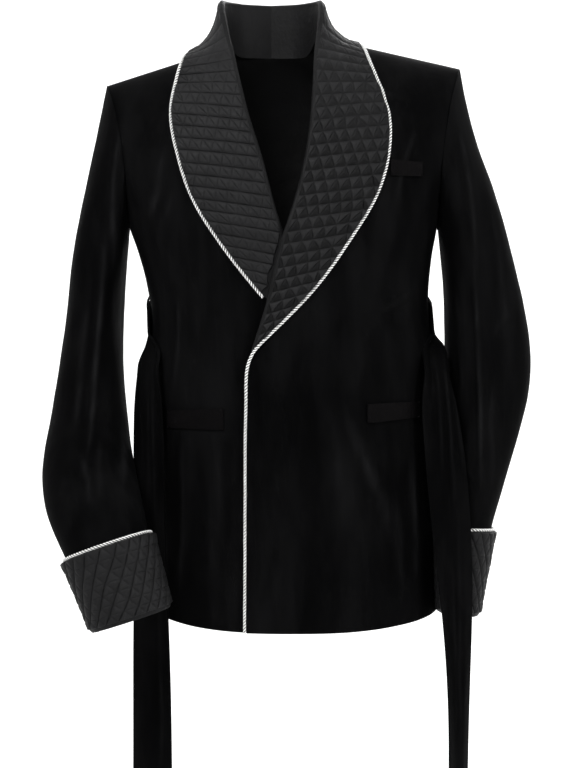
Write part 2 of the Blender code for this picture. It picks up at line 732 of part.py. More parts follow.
def make_cuff(hand, collection):
    """The cuff folds round the sleeve's end: quilted outside, with a plain facing inside it."""
    shape = bmesh.new()
    last = len(SLEEVES[hand]) - 1
    under = CUFF_EASE
    top = under + SATIN
    length = last - CUFF_TOP
    rings = []
    for row in range(CUFF_ROWS + 1):
        share = row / CUFF_ROWS
        flare = CUFF_FLARE * (1 - share) ** 2
        rings.append((CUFF_TOP + length * share, top + flare, 0.5 * (row % 2), 0.0))
    quilted = len(rings) - 1
    half = 0.5 * (CUFF_ROWS % 2)
    rings.append((last, top * 0.3, half, CUFF_HEM + SATIN))
    rings.append((last, -VELVET - top * 0.4, half, CUFF_HEM + SATIN))
    rings.append((last, -VELVET - top, half, CUFF_HEM * 0.4))
    rings.append((last - CUFF_FACING, -VELVET - top, half, 0.0))
    rings.append((last - CUFF_FACING, -VELVET - under, half, 0.0))
    rings.append((last, -VELVET - under, half, 0.0))
    rings.append((last, -VELVET / 2, half, CUFF_HEM * 0.6))
    rings.append((last, under, half, 0.0))
    rings.append((CUFF_TOP + length / 2, under + CUFF_FLARE / 4, half, 0.0))
    rings.append((CUFF_TOP, under + CUFF_FLARE, 0.0, 0.0))
    made = []
    for place, out, shift, past in rings:
        points = cuff_ring(hand, place, out, shift, past)
        places = [(i + shift) / CUFF_COLUMNS for i in range(CUFF_COLUMNS)]
        made.append([(where, shape.verts.new(point)) for where, point in zip(places, points)])
    around = sum((a[1].co - b[1].co).length for a, b in zip(made[0], made[0][1:])) / (CUFF_COLUMNS - 1)
    full_area = around * (made[0][0][1].co - made[2][0][1].co).length / 4

    def rise(corners, middle):
        return pillow_rise(corners, middle - ring_frame(hand, last - length / 2)[0], full_area)

    for k, first in enumerate(made):
        second = made[(k + 1) % len(made)]
        if k < quilted:
            zip_rows(shape, first, second, True, rise)
        elif rings[k][2] == rings[(k + 1) % len(made)][2]:
            loft(shape, [v for _, v in first], [v for _, v in second], True)
        else:
            zip_rows(shape, first, second, True)
    name = "cuff_left" if hand == LEFT else "cuff_right"
    add_object(name, "satin", shape, collection)


# Collar


def collar_value(column, place):
    return smooth(COLLAR, column, place, "row")


def collar_line(hand, which, place):
    """A point of the fold line or of the outer edge, level with the middle of the front's cloth."""
    x, y, z = (collar_value(f"{which}_{axis}", place) for axis in "xyz")
    blend = ease(collar_value("on_front", place))
    free = Vector((centre_at(z) + hand * x, y, z))
    if blend == 0:
        return free
    laid = on_front(hand, centre_at(z) + hand * x, z, -VELVET / 2)
    return free.lerp(laid, blend)


def collar_frame(hand, place):
    """Fold point, way across to the edge, and outward normal at a place along the collar."""
    last = len(COLLAR) - 1
    fold, edge = collar_line(hand, "fold", place), collar_line(hand, "edge", place)
    high, low = min(place + 0.1, last), max(place - 0.1, 0)
    along = (collar_line(hand, "fold", high) - collar_line(hand, "fold", low)).normalized()
    if low == 0 and place < 0.1:
        along = Vector((hand, 0, 0))
    across = edge - fold
    across = (across - along * across.dot(along)).normalized()
    return fold, edge, across, along.cross(across) * hand


def leaf_point(hand, place, share, out):
    """A point of the collar's leaf, from the fold (0) to the outer edge (1)."""
    fold, edge, _, normal = collar_frame(hand, place)
    bow = collar_value("bow", place) * math.sin(math.pi * share) ** 0.8
    point = fold.lerp(edge, share) + normal * (LAY + VELVET / 2 + bow)
    point = clear_of_body(hand, point, LAY)
    return point + leaf_normal(hand, place, share) * out if out else point


def leaf_normal(hand, place, share):
    last = len(COLLAR) - 1
    high, low = min(place + 0.05, last), max(place - 0.05, 0)
    right, left = min(share + 0.05, 1), max(share - 0.05, 0)
    along = leaf_point(hand, high, share, 0) - leaf_point(hand, low, share, 0)
    if place < 0.05:
        along = Vector((hand, 0, 0))
    across = leaf_point(hand, place, right, 0) - leaf_point(hand, place, left, 0)
    return (along.cross(across) * hand).normalized()


def collar_places(hand):
    """Places along the collar, a quilting row apart down the middle of the leaf."""
    last = len(COLLAR) - 1 if hand == LEFT else RIGHT_END
    steps = 600
    places, run = [0.0], 0.0
    before = leaf_point(LEFT, 0.0, 0.5, 0)
    for step in range(1, steps + 1):
        point = leaf_point(LEFT, last * step / steps, 0.5, 0)
        run += (point - before).length
        before = point
        if run >= QUILT_ROW:
            places.append(last * step / steps)
            run -= QUILT_ROW
    if last - places[-1] < 0.4:
        places.pop()
    return places + [float(last)]


def collar_row(hand, place, odd, tree):
    """One row across the collar: the stitches of its upper face, and the plain points below.
    Both run from the inner end of the stand over the fold to the outer edge."""
    fold, edge, across, normal = collar_frame(hand, place)
    stand, wrap = collar_value("stand", place), collar_value("wrap", place)
    low = math.radians(12 + 78 * ease(wrap))
    radius = LAY + VELVET / 2
    upper, lower = [], []
    start = math.radians(90) - low
    inner_end = fold + across * stand - normal * math.sin(low) * radius
    if stand > 0.003:
        upright = fold - across * 0.09 * stand - Vector((0, 0, 0.9 * stand)) - normal * radius
        inner_end = upright.lerp(inner_end, ease(collar_value("on_front", place)))
        if collar_value("on_front", place) > 0.5:
            inner_end = clear_of(tree, inner_end, -normal, 1.5 * LAY, (across * -0.006, across * 0.006))
    inner_out = -normal * math.sin(low) - across * math.cos(low)
    lower.append(inner_end)
    upper.append(inner_end + inner_out * SATIN)
    for i in range(4):
        turn = -low + (math.radians(90) + low) * i / 4
        way = normal * math.sin(turn) - across * math.cos(turn)
        lower.append(fold + way * radius)
        upper.append(fold + way * (radius + SATIN))
    width = (edge - fold).length
    count = max(int(width / QUILT_BASE + 0.25), 1)
    stitches = [0.0] + [(i + 0.5 * odd) / count for i in range(0 if odd else 1, count)] + [1.0]
    along = normal.cross(across) * 0.008
    around = (along, -along, across * 0.01, across * -0.01)

    def laid(share):
        point, normal = leaf_point(hand, place, share, 0), leaf_normal(hand, place, share)
        return clear_of(tree, point, normal, 1.5 * LAY, around)

    leaf = [(share * width, laid(share) + leaf_normal(hand, place, share) * SATIN) for share in stitches]
    lower += [laid(i / 7) for i in range(8)]
    return upper, leaf, lower


def visible_pillow(hand, middle):
    """The right lapel is quilted only as far as it shows, and plain under the left front."""
    if hand == LEFT:
        return True
    if middle.z > -0.20 or middle.y > -0.05:
        return True
    return middle.x < front_edge(LEFT, middle.z) - 0.010


def make_collar(hand, tree, collection):
    shape = bmesh.new()
    full_area = QUILT_ROW * QUILT_BASE / 2
    rows = []
    for k, place in enumerate(collar_places(hand)):
        upper, leaf, lower = collar_row(hand, place, k % 2, tree)
        if k == 0:
            gap = Vector((hand * SEAM / 2, 0, 0))
            upper = [point + gap for point in upper]
            leaf = [(where, point + gap) for where, point in leaf]
            lower = [point + gap for point in lower]
        upper_made = [shape.verts.new(point) for point in upper]
        leaf_made = [(where, shape.verts.new(point)) for where, point in leaf]
        lower_made = [shape.verts.new(point) for point in lower]
        rows.append((upper_made, leaf_made, lower_made, collar_frame(hand, place)[3]))

    for (upper, leaf, lower, normal), (upper2, leaf2, lower2, normal2) in zip(rows, rows[1:]):

        def rise(corners, middle, outward=normal + normal2):
            if not visible_pillow(hand, middle):
                return None
            return pillow_rise(corners, outward, full_area)

        loft(shape, upper + [leaf[0][1]], upper2 + [leaf2[0][1]], False)
        zip_rows(shape, leaf, leaf2, False, rise)
        loft(shape, lower, lower2, False)
        shape.faces.new((upper[0], upper2[0], lower2[0], lower[0]))
        shape.faces.new((leaf[-1][1], leaf2[-1][1], lower2[-1], lower[-1]))
    for upper, leaf, lower, _ in (rows[0], rows[-1]):
        top = upper + [vertex for _, vertex in leaf]
        close_end(shape, top, lower)
    name = "collar_left" if hand == LEFT else "collar_right"
    add_object(name, "satin", shape, collection)


def close_end(shape, top, bottom):
    """Faces across the collar's end: the points of the turn pair up, and the leaf's do not."""
    loft(shape, top[:6], bottom[:6], False)
    top, bottom = top[5:], bottom[5:]
    lengths = []
    for line in (top, bottom):
        run, places = 0.0, [0.0]
        for a, b in zip(line, line[1:]):
            run += (a.co - b.co).length
            places.append(run)
        lengths.append([place / run for place in places])
    zip_rows(shape, list(zip(lengths[0], top)), list(zip(lengths[1], bottom)), False)


# Cord


def make_cord(name, points, collection, closed=False):
    """A cord as a curve with a round section and filled ends."""
    curve = bpy.data.curves.new(name, "CURVE")
    curve.dimensions = "3D"
    curve.bevel_depth = CORD_RADIUS
    curve.bevel_resolution = 1
    curve.use_fill_caps = not closed
    spline = curve.splines.new("POLY")
    spline.points.add(len(points) - 1)
    for place, point in zip(spline.points, points):
        place.co = (*point, 1)
    spline.use_cyclic_u = closed
    curve.materials.append(material("cord"))
    obj = bpy.data.objects.new(name, curve)
    collection.objects.link(obj)
    return obj


def lapel_cord_points(hand, tree):
    """Beside the leaf's edge from the centre back to its end, then down the left front's own edge.
    The right one ends where it meets the left lapel's fold."""
    points = []
    last = len(COLLAR) - 1
    for k, place in enumerate(collar_places(hand)):
        normal = leaf_normal(hand, place, 1.0)
        edge = clear_of(tree, leaf_point(hand, place, 1.0, 0), normal, 1.5 * LAY) + normal * SATIN / 2
        high, low = min(place + 0.05, last), max(place - 0.05, 0)
        along = leaf_point(hand, high, 1.0, 0) - leaf_point(hand, low, 1.0, 0)
        beside = along.cross(normal).normalized()
        if beside.dot(edge - leaf_point(hand, place, 0.8, 0)) < 0:
            beside.negate()
        point = edge + beside * (CORD_RADIUS + SEAM)
        around = [along.normalized() * step for step in (-0.018, -0.009, 0.009, 0.018)]
        least = CORD_RADIUS + SEAM + 0.0020 * (1 - ease(collar_value("on_front", place)))
        point = clear_of(tree, point, normal, least, around)
        if k == 0:
            point.x = centre_at(point.z) + hand * 0.0007
        limit = front_edge(LEFT, point.z) - TURN - LAY - VELVET - SATIN - CORD_RADIUS
        if hand == RIGHT and point.z < -0.25 and point.x > limit:
            before = points[-1]
            points.append(before.lerp(point, (limit - before.x) / (point.x - before.x)))
            break
        points.append(point)
    if hand == LEFT:
        points.append(point + (leaf_point(hand, last, 0.4, 0) - leaf_point(hand, last, 1.0, 0)) + beside * 0.0005)
        for row in reversed(panel_rows()):
            height = ARMPIT + (ARMPIT - HEM) * row
            if height < collar_line(hand, "fold", last).z - 0.008:
                x = front_edge(hand, height) - CORD_RADIUS - SEAM
                over = (CORD_RADIUS + SEAM + VELVET) * ease((height + 0.448) / 0.04)
                points.append(on_front(hand, x, height, over - VELVET / 2))
    return points


def cuff_cord_points(hand):
    """Round the top of the cuff."""
    out = CUFF_EASE + CUFF_FLARE + SATIN / 2
    place = CUFF_TOP
    ring = cuff_ring(hand, place, max(out, CORD_RADIUS + SEAM), 0.0)
    back = cuff_ring(hand, place - 0.3, max(out, CORD_RADIUS + SEAM), 0.0)
    return [a + (b - a).normalized() * (CORD_RADIUS + SEAM) for a, b in zip(ring, back)]


# Welts, belt and loops


def make_welt(welt, tree, collection):
    """A folded strip over a pocket's mouth, slightly proud of the front."""
    columns, rows = 6, 2
    outer, inner = [], []
    for i in range(rows + 1):
        outer_row, inner_row = [], []
        for j in range(columns + 1):
            share = j / columns
            height = welt.height0 + (welt.height1 - welt.height0) * share
            x = welt.x0 + (welt.x1 - welt.x0) * share
            z = welt.z0 + (welt.z1 - welt.z0) * share + height * (i / rows - 0.5)
            point = on_front(welt.side, x, z, LAY)
            normal = body_normal(FRONT, point)[0]
            point = laid_on(tree, point, normal, 2 * SEAM, (Vector((0.008, 0, 0)), Vector((-0.008, 0, 0))))
            outer_row.append(point + normal * (0.0016 + 0.0004 * (i == 1)))
            inner_row.append(point)
        outer.append(outer_row)
        inner.append(inner_row)
    wall(welt.name, "satin", outer, inner, collection)


def belt_section(middle, wide, facing, width, gather):
    """Seven points across the strip, in soft waves where it is gathered."""
    points = []
    for i in range(7):
        share = i / 6 - 0.5
        wave = gather * math.cos(3 * math.pi * (share + 0.5))
        points.append(middle + wide * share * width + facing * wave)
    return points


def belt_path():
    """(middle, way of the width, facing, width, gather) along the belt, end to end."""
    stations = []
    for row in reversed(BELT_ENDS[RIGHT]):
        stations.append(hang_station(RIGHT, row))
    around = []
    for i in range(BACK_COLUMNS + 1):
        angle = math.radians(89) * (2 * i / BACK_COLUMNS - 1)
        low, high = (
            torso(BACK, angle, (BELT_HEIGHT + move - ARMPIT) / (ARMPIT - HEM))
            for move in (-BELT_WIDTH / 2, BELT_WIDTH / 2)
        )
        middle = (low + high) / 2
        down = (low - high).normalized()
        normal = body_normal(BACK, middle)[0]
        normal = (normal - down * normal.dot(down)).normalized()
        middle += normal * (BELT_THICKNESS / 2 + BELT_EASE)
        around.append((middle, down, normal, BELT_WIDTH, 0.0))
    left = [hang_station(LEFT, row) for row in BELT_ENDS[LEFT]]
    turns = [half_way(stations[-1], around[0]), half_way(around[-1], left[0])]
    return stations + [turns[0]] + around + [turns[1]] + left


def half_way(first, second):
    """The station between two, where the strip turns from one way to the other."""
    return (
        (first[0] + second[0]) / 2,
        (first[1] + second[1]).normalized(),
        (first[2] + second[2]).normalized(),
        (first[3] + second[3]) / 2,
        (first[4] + second[4]) / 2,
    )


def hang_station(hand, row):
    turn = math.radians(row.turn)
    wide = Vector((math.cos(turn), math.sin(turn), 0))
    facing = Vector((math.sin(turn), -math.cos(turn), 0))
    middle = Vector((row.x, row.y, row.z))
    return middle, wide * hand, facing, row.width, row.gather


def make_belt(collection):
    front, back = [], []
    for middle, wide, facing, width, gather in belt_path():
        points = belt_section(middle, wide, facing, width, gather)
        front.append([point + facing * BELT_THICKNESS / 2 for point in points])
        back.append([point - facing * BELT_THICKNESS / 2 for point in points])
    return wall("belt", "velvet", front, back, collection)


def make_belt_loop(hand, tree, collection):
    """A narrow strip over the belt at the side seam, its ends against the cloth."""
    outward = Vector((hand, 0.0, 0.0))
    outer, inner = [], []
    for share in (-1.0, -0.78, -0.4, 0.0, 0.4, 0.78, 1.0):
        height = BELT_HEIGHT + BELT_LOOP_HALF * share
        middle = torso(BACK, hand * math.radians(83), (height - ARMPIT) / (ARMPIT - HEM))
        around = [Vector((0, 0, move)) for move in (-0.004, 0.004)]
        outer_row, inner_row = [], []
        for j in (-1, 1):
            point = middle + Vector((0, j * BELT_LOOP_WIDTH / 2, 0))
            point = laid_on(tree, point, outward, SEAM, around if abs(share) < 1 else ())
            inner_row.append(point)
            outer_row.append(point + outward * BELT_LOOP_THICKNESS)
        outer.append(outer_row)
        inner.append(inner_row)
    name = "belt_loop_left" if hand == LEFT else "belt_loop_right"
    wall(name, "velvet", outer, inner, collection)


def main():
    for obj in list(bpy.data.objects):
        bpy.data.objects.remove(obj)
    jacket = bpy.data.collections.new("smoking_jacket")
    bpy.context.scene.collection.children.link(jacket)
    back = make_back(jacket)
    trees = {}
    for hand, name in ((LEFT, "left"), (RIGHT, "right")):
        trees[hand] = cloth_tree([back, make_front(hand, jacket)])
        make_sleeve(hand, jacket)
        make_collar(hand, trees[hand], jacket)
        make_cuff(hand, jacket)
        make_cord(f"lapel_cord_{name}", lapel_cord_points(hand, trees[hand]), jacket)
        make_cord(f"cuff_cord_{name}", cuff_cord_points(hand), jacket, closed=True)
    for welt in WELTS:
        make_welt(welt, trees[welt.side], jacket)
    held = cloth_tree([back, make_belt(jacket)])
    for hand in (LEFT, RIGHT):
        make_belt_loop(hand, held, jacket)


main()
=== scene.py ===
"""The look of a velvet smoking jacket: a thin shell of cloth on each of its solids, quilted satin
on the collar and cuffs, twisted cord along their edges, and soft creases where the cloth hangs."""

import math
from collections import namedtuple

import bmesh
import bpy
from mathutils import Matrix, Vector, kdtree, noise


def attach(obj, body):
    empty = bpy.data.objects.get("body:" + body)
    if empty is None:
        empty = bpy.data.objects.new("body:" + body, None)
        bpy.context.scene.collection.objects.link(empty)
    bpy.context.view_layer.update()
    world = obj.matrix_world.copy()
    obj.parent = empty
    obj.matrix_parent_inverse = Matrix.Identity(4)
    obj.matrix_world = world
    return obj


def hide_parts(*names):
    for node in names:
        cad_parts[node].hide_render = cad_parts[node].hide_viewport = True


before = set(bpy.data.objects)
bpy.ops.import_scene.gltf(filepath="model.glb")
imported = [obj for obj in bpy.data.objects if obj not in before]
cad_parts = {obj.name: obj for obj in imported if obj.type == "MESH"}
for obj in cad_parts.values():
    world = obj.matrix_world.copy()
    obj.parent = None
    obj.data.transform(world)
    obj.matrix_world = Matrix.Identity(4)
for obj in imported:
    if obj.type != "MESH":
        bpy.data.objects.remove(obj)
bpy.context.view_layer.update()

# Sizes in metres
TORSO_MIDDLE = Vector((0.010, 0.0, 0.0))
TORSO_HALF_WIDTH = 0.18
TORSO_HALF_DEPTH = 0.11
NECK_MIDDLE = Vector((-0.012, 0.0, 0.0))
PUFF_HEIGHT = 0.0021
QUILT_STEPS = 7
THREAD_AND_SHADE_WIDTH = 0.085
LEAST_RISE = 0.0004
CORD_STRANDS = 2
STRAND_RADIUS = 0.00110
STRAND_ORBIT = 0.00096
CORD_PITCH = 0.0080
CORD_STEP = 0.0008
GROOVE_SHADE_START = 0.00132
GROOVE_SHADE_FADE = 0.0005
TUBE_RING_EDGE = 0.0026
RIM_ANGLE = math.radians(55)
SMOOTH_ANGLE = math.radians(42)

# Where the cloth stands away from its solid's form, and how far
WAIST = -0.390
WAIST_SPREAD = 0.024
FULLER_LEFT = 0.0050
FULLER_RIGHT = 0.0030
FULLER_HEM = 0.0028
FRONT_TURN = -0.412
FRONT_TURN_SPREAD = 0.034
FRONT_TURN_OUT = 0.0050
SHOULDER_LAP = 0.0009
WRIST_IN = 0.0060
HEAD_ROLL = 0.0030
STAND_TOP = 0.0525
STAND_HEIGHT = 0.0355
STAND_DROP = 0.020
STAND_SPAN = 76
FOLD_RISE = 0.0110
LOOP_SHARE = 0.86
TAIL_START = -0.393
TAIL_START_SPREAD = 0.018
TAIL_WIDER = 0.9
TAIL_MIDDLES = {"left": 0.1983, "right": -0.1765}
TAIL_LIFTS = {"left": 0.0085, "right": 0.0050}
RIGHT_TAIL_OUT = 0.0058

# Creases seen from the front: the line from one end to the other, how wide and deep the trough is,
# and how far it bends to one side on the way
Crease = namedtuple("Crease", "x0 z0 x1 z1 width depth bend")
FRONT_CREASES = [
    Crease(0.052, -0.465, 0.132, -0.665, 0.013, 0.0036, 0.006),
    Crease(0.020, -0.440, 0.062, -0.640, 0.020, 0.0022, 0.004),
    Crease(0.155, -0.480, 0.161, -0.720, 0.007, 0.0026, -0.003),
    Crease(0.128, -0.560, 0.139, -0.715, 0.008, 0.0018, 0.002),
    Crease(0.122, -0.352, 0.172, -0.318, 0.006, 0.0020, -0.003),
    Crease(0.148, -0.235, 0.178, -0.110, 0.008, 0.0030, 0.004),
    Crease(0.095, -0.075, 0.165, -0.088, 0.008, 0.0016, 0.002),
    Crease(-0.138, -0.318, -0.148, -0.460, 0.006, 0.0034, 0.003),
    Crease(-0.126, -0.300, -0.118, -0.400, 0.009, 0.0018, 0.003),
    Crease(-0.136, -0.500, -0.141, -0.715, 0.007, 0.0028, 0.004),
    Crease(-0.095, -0.470, -0.102, -0.700, 0.014, 0.0018, -0.004),
    Crease(-0.165, -0.245, -0.140, -0.135, 0.008, 0.0032, -0.004),
    Crease(-0.150, -0.275, -0.120, -0.190, 0.009, 0.0020, 0.003),
    Crease(-0.015, -0.590, -0.022, -0.725, 0.010, 0.0012, 0.003),
]
BACK_CREASES = [
    Crease(0.055, -0.430, 0.078, -0.700, 0.018, 0.0040, 0.005),
    Crease(-0.045, -0.440, -0.062, -0.690, 0.016, 0.0038, -0.004),
    Crease(0.005, -0.520, 0.008, -0.720, 0.014, 0.0026, 0.003),
    Crease(0.120, -0.470, 0.140, -0.680, 0.013, 0.0030, -0.003),
    Crease(-0.110, -0.480, -0.130, -0.690, 0.013, 0.0030, 0.003),
    Crease(0.060, -0.335, 0.160, -0.300, 0.010, 0.0032, 0.004),
    Crease(-0.050, -0.340, -0.150, -0.305, 0.010, 0.0032, 0.004),
    Crease(0.020, -0.375, 0.130, -0.392, 0.009, 0.0024, -0.003),
    Crease(-0.015, -0.380, -0.120, -0.395, 0.009, 0.0024, -0.003),
    Crease(0.110, -0.130, 0.165, -0.235, 0.014, 0.0030, 0.005),
    Crease(-0.115, -0.135, -0.168, -0.235, 0.014, 0.0030, -0.005),
]
LEFT_SLEEVE_FRONT = [
    Crease(0.214, -0.085, 0.238, -0.300, 0.0060, 0.0046, 0.004),
    Crease(0.233, -0.255, 0.243, -0.600, 0.0058, 0.0052, 0.003),
    Crease(0.255, -0.190, 0.274, -0.420, 0.0080, 0.0030, 0.005),
    Crease(0.258, -0.420, 0.262, -0.595, 0.0060, 0.0036, -0.004),
    Crease(0.211, -0.300, 0.222, -0.470, 0.0060, 0.0026, 0.002),
    Crease(0.216, -0.500, 0.238, -0.565, 0.0055, 0.0030, -0.005),
    Crease(0.268, -0.390, 0.300, -0.345, 0.0070, 0.0018, 0.004),
]
LEFT_SLEEVE_BACK = [
    Crease(0.225, -0.110, 0.250, -0.330, 0.0100, 0.0040, -0.004),
    Crease(0.255, -0.280, 0.268, -0.480, 0.0100, 0.0040, 0.004),
    Crease(0.215, -0.400, 0.275, -0.420, 0.0080, 0.0034, 0.004),
    Crease(0.212, -0.450, 0.272, -0.470, 0.0080, 0.0030, 0.004),
    Crease(0.230, -0.520, 0.245, -0.620, 0.0080, 0.0026, 0.003),
]
RIGHT_SLEEVE_FRONT = [
    Crease(-0.214, -0.095, -0.224, -0.300, 0.0065, 0.0044, -0.004),
    Crease(-0.228, -0.215, -0.252, -0.560, 0.0062, 0.0050, -0.004),
    Crease(-0.252, -0.290, -0.272, -0.520, 0.0080, 0.0030, -0.004),
    Crease(-0.211, -0.280, -0.222, -0.450, 0.0070, 0.0030, 0.003),
    Crease(-0.216, -0.450, -0.206, -0.580, 0.0062, 0.0034, 0.004),
    Crease(-0.262, -0.520, -0.244, -0.595, 0.0065, 0.0028, 0.004),
    Crease(-0.236, -0.500, -0.228, -0.590, 0.0058, 0.0024, -0.003),
]
RIGHT_SLEEVE_BACK = [
    Crease(-0.222, -0.120, -0.246, -0.330, 0.0100, 0.0040, 0.004),
    Crease(-0.250, -0.290, -0.262, -0.480, 0.0100, 0.0040, -0.004),
    Crease(-0.210, -0.440, -0.282, -0.470, 0.0080, 0.0034, 0.004),
    Crease(-0.206, -0.480, -0.290, -0.520, 0.0080, 0.0032, 0.004),
]
LEFT_TAIL = [
    Crease(0.186, -0.385, 0.195, -0.560, 0.0040, 0.0022, 0.002),
    Crease(0.197, -0.378, 0.209, -0.620, 0.0045, 0.0024, 0.002),
    Crease(0.206, -0.390, 0.222, -0.560, 0.0040, 0.0020, 0.002),
    Crease(0.214, -0.560, 0.219, -0.960, 0.0050, 0.0018, -0.002),
    Crease(0.205, -0.640, 0.212, -0.900, 0.0040, 0.0014, 0.002),
]
RIGHT_TAIL = [
    Crease(-0.172, -0.385, -0.166, -0.640, 0.0045, 0.0024, -0.002),
    Crease(-0.180, -0.400, -0.178, -0.600, 0.0040, 0.0018, 0.002),
    Crease(-0.160, -0.410, -0.155, -0.560, 0.0040, 0.0018, 0.002),
    Crease(-0.165, -0.640, -0.160, -0.990, 0.0050, 0.0016, 0.002),
]

# Lines of stitching: how deep, how far the cloth takes to rise from the line and to fall to the
# far corner, as shares of the triangle's height, and how sharp the valley is
Stitch = namedtuple("Stitch", "depth reach beyond shape")
SLOPED_ROW = Stitch(1.0, 0.34, 0.20, 1.6)
SLOPED_SLANT = Stitch(0.60, 0.13, 0.13, 1.6)
ROW = Stitch(1.0, 0.30, 0.26, 2.4)
SLANT = Stitch(0.38, 0.14, 0.14, 1.8)
CUFF_STITCH = Stitch(1.0, 0.28, 0.24, 2.2)
FAINT_STITCH = Stitch(0.40, 0.16, 0.16, 1.8)

# The middle line of each sleeve
SLEEVE_MIDDLES = {
    "left": [
        Vector((0.214, 0.004, -0.130)),
        Vector((0.241, 0.007, -0.238)),
        Vector((0.259, 0.008, -0.338)),
        Vector((0.266, 0.002, -0.435)),
        Vector((0.248, -0.010, -0.538)),
        Vector((0.236, -0.016, -0.623)),
        Vector((0.227, -0.018, -0.725)),
    ],
    "right": [
        Vector((-0.214, 0.004, -0.141)),
        Vector((-0.236, 0.007, -0.258)),
        Vector((-0.246, 0.008, -0.364)),
        Vector((-0.251, -0.012, -0.481)),
        Vector((-0.241, -0.085, -0.576)),
        Vector((-0.217, -0.122, -0.638)),
        Vector((-0.188, -0.137, -0.720)),
    ],
}

# Rows of quilting on the collar, each from the fold to the outer edge
COLLAR_ROWS = {
    "right": [
        ((-0.016, 0.066, 0.054), (-0.012, 0.086, -0.010)),
        ((-0.043, 0.061, 0.054), (-0.050, 0.079, -0.009)),
        ((-0.066, 0.046, 0.054), (-0.085, 0.060, -0.006)),
        ((-0.079, 0.021, 0.052), (-0.109, 0.027, -0.003)),
        ((-0.080, -0.010, 0.037), (-0.120, -0.010, -0.008)),
        ((-0.072, -0.034, 0.007), (-0.125, -0.035, -0.019)),
        ((-0.064, -0.054, -0.026), (-0.130, -0.050, -0.035)),
        ((-0.057, -0.075, -0.059), (-0.134, -0.056, -0.057)),
        ((-0.049, -0.092, -0.093), (-0.139, -0.070, -0.084)),
        ((-0.040, -0.103, -0.125), (-0.138, -0.083, -0.113)),
        ((-0.030, -0.111, -0.156), (-0.131, -0.094, -0.144)),
        ((-0.021, -0.116, -0.189), (-0.122, -0.101, -0.175)),
        ((-0.013, -0.119, -0.220), (-0.111, -0.106, -0.205)),
        ((-0.003, -0.120, -0.249), (-0.094, -0.112, -0.234)),
        ((0.006, -0.119, -0.279), (-0.073, -0.114, -0.264)),
        ((0.014, -0.117, -0.308), (-0.052, -0.115, -0.293)),
        ((0.021, -0.115, -0.336), (-0.027, -0.115, -0.323)),
    ],
    "left": [
        ((-0.016, 0.066, 0.054), (-0.012, 0.086, -0.010)),
        ((0.011, 0.060, 0.054), (0.027, 0.079, -0.009)),
        ((0.033, 0.046, 0.054), (0.060, 0.060, -0.006)),
        ((0.046, 0.021, 0.052), (0.084, 0.027, -0.003)),
        ((0.049, -0.009, 0.037), (0.096, -0.010, -0.008)),
        ((0.045, -0.035, 0.007), (0.103, -0.036, -0.019)),
        ((0.042, -0.056, -0.026), (0.109, -0.054, -0.035)),
        ((0.041, -0.079, -0.059), (0.118, -0.066, -0.057)),
        ((0.039, -0.094, -0.093), (0.127, -0.077, -0.083)),
        ((0.035, -0.104, -0.125), (0.131, -0.087, -0.113)),
        ((0.030, -0.111, -0.157), (0.130, -0.095, -0.145)),
        ((0.023, -0.117, -0.189), (0.124, -0.101, -0.175)),
        ((0.014, -0.125, -0.220), (0.113, -0.106, -0.205)),
        ((0.004, -0.129, -0.249), (0.095, -0.112, -0.234)),
        ((-0.004, -0.128, -0.279), (0.075, -0.115, -0.263)),
        ((-0.011, -0.126, -0.308), (0.055, -0.117, -0.293)),
        ((-0.017, -0.124, -0.337), (0.032, -0.125, -0.323)),
        ((-0.025, -0.122, -0.363), (0.003, -0.123, -0.353)),
    ],
}


# Finishes


def new_material(name):
    """A material with its shader, and its object coordinates."""
    material = bpy.data.materials.new(name)
    material.use_nodes = True
    nodes = material.node_tree.nodes
    place = nodes.new("ShaderNodeTexCoord").outputs["Object"]
    return material, nodes, material.node_tree.links, nodes["Principled BSDF"], place


def grain(nodes, links, place, scale, detail=2.0, stretch=(1, 1, 1), roughness=0.5):
    """Noise of so many grains a metre, drawn out along an axis where stretch is less than 1."""
    mapping = nodes.new("ShaderNodeMapping")
    mapping.inputs["Scale"].default_value = stretch
    links.new(place, mapping.inputs["Vector"])
    texture = nodes.new("ShaderNodeTexNoise")
    texture.inputs["Scale"].default_value = scale
    texture.inputs["Detail"].default_value = detail
    texture.inputs["Roughness"].default_value = roughness
    links.new(mapping.outputs["Vector"], texture.inputs["Vector"])
    return texture.outputs["Fac"]


def ramp(nodes, links, value, stops):
    """A colour for each place along a value, as (place, (r, g, b))."""
    made = nodes.new("ShaderNodeValToRGB")
    made.color_ramp.interpolation = "EASE"
    for stop, (at, colour) in zip(made.color_ramp.elements, stops):
        stop.position, stop.color = at, (*colour, 1)
    for at, colour in stops[2:]:
        made.color_ramp.elements.new(at).color = (*colour, 1)
    links.new(value, made.inputs["Fac"])
    return made.outputs["Color"]


def raise_surface(nodes, links, shader, layers):
    """Bump from several (height, depth in metres) layers, coarse to fine."""
    before = None
    for height, depth in layers:
        bump = nodes.new("ShaderNodeBump")
        bump.inputs["Distance"].default_value = depth
        links.new(height, bump.inputs["Height"])
        if before:
            links.new(before, bump.inputs["Normal"])
        before = bump.outputs["Normal"]
    links.new(before, shader.inputs["Normal"])


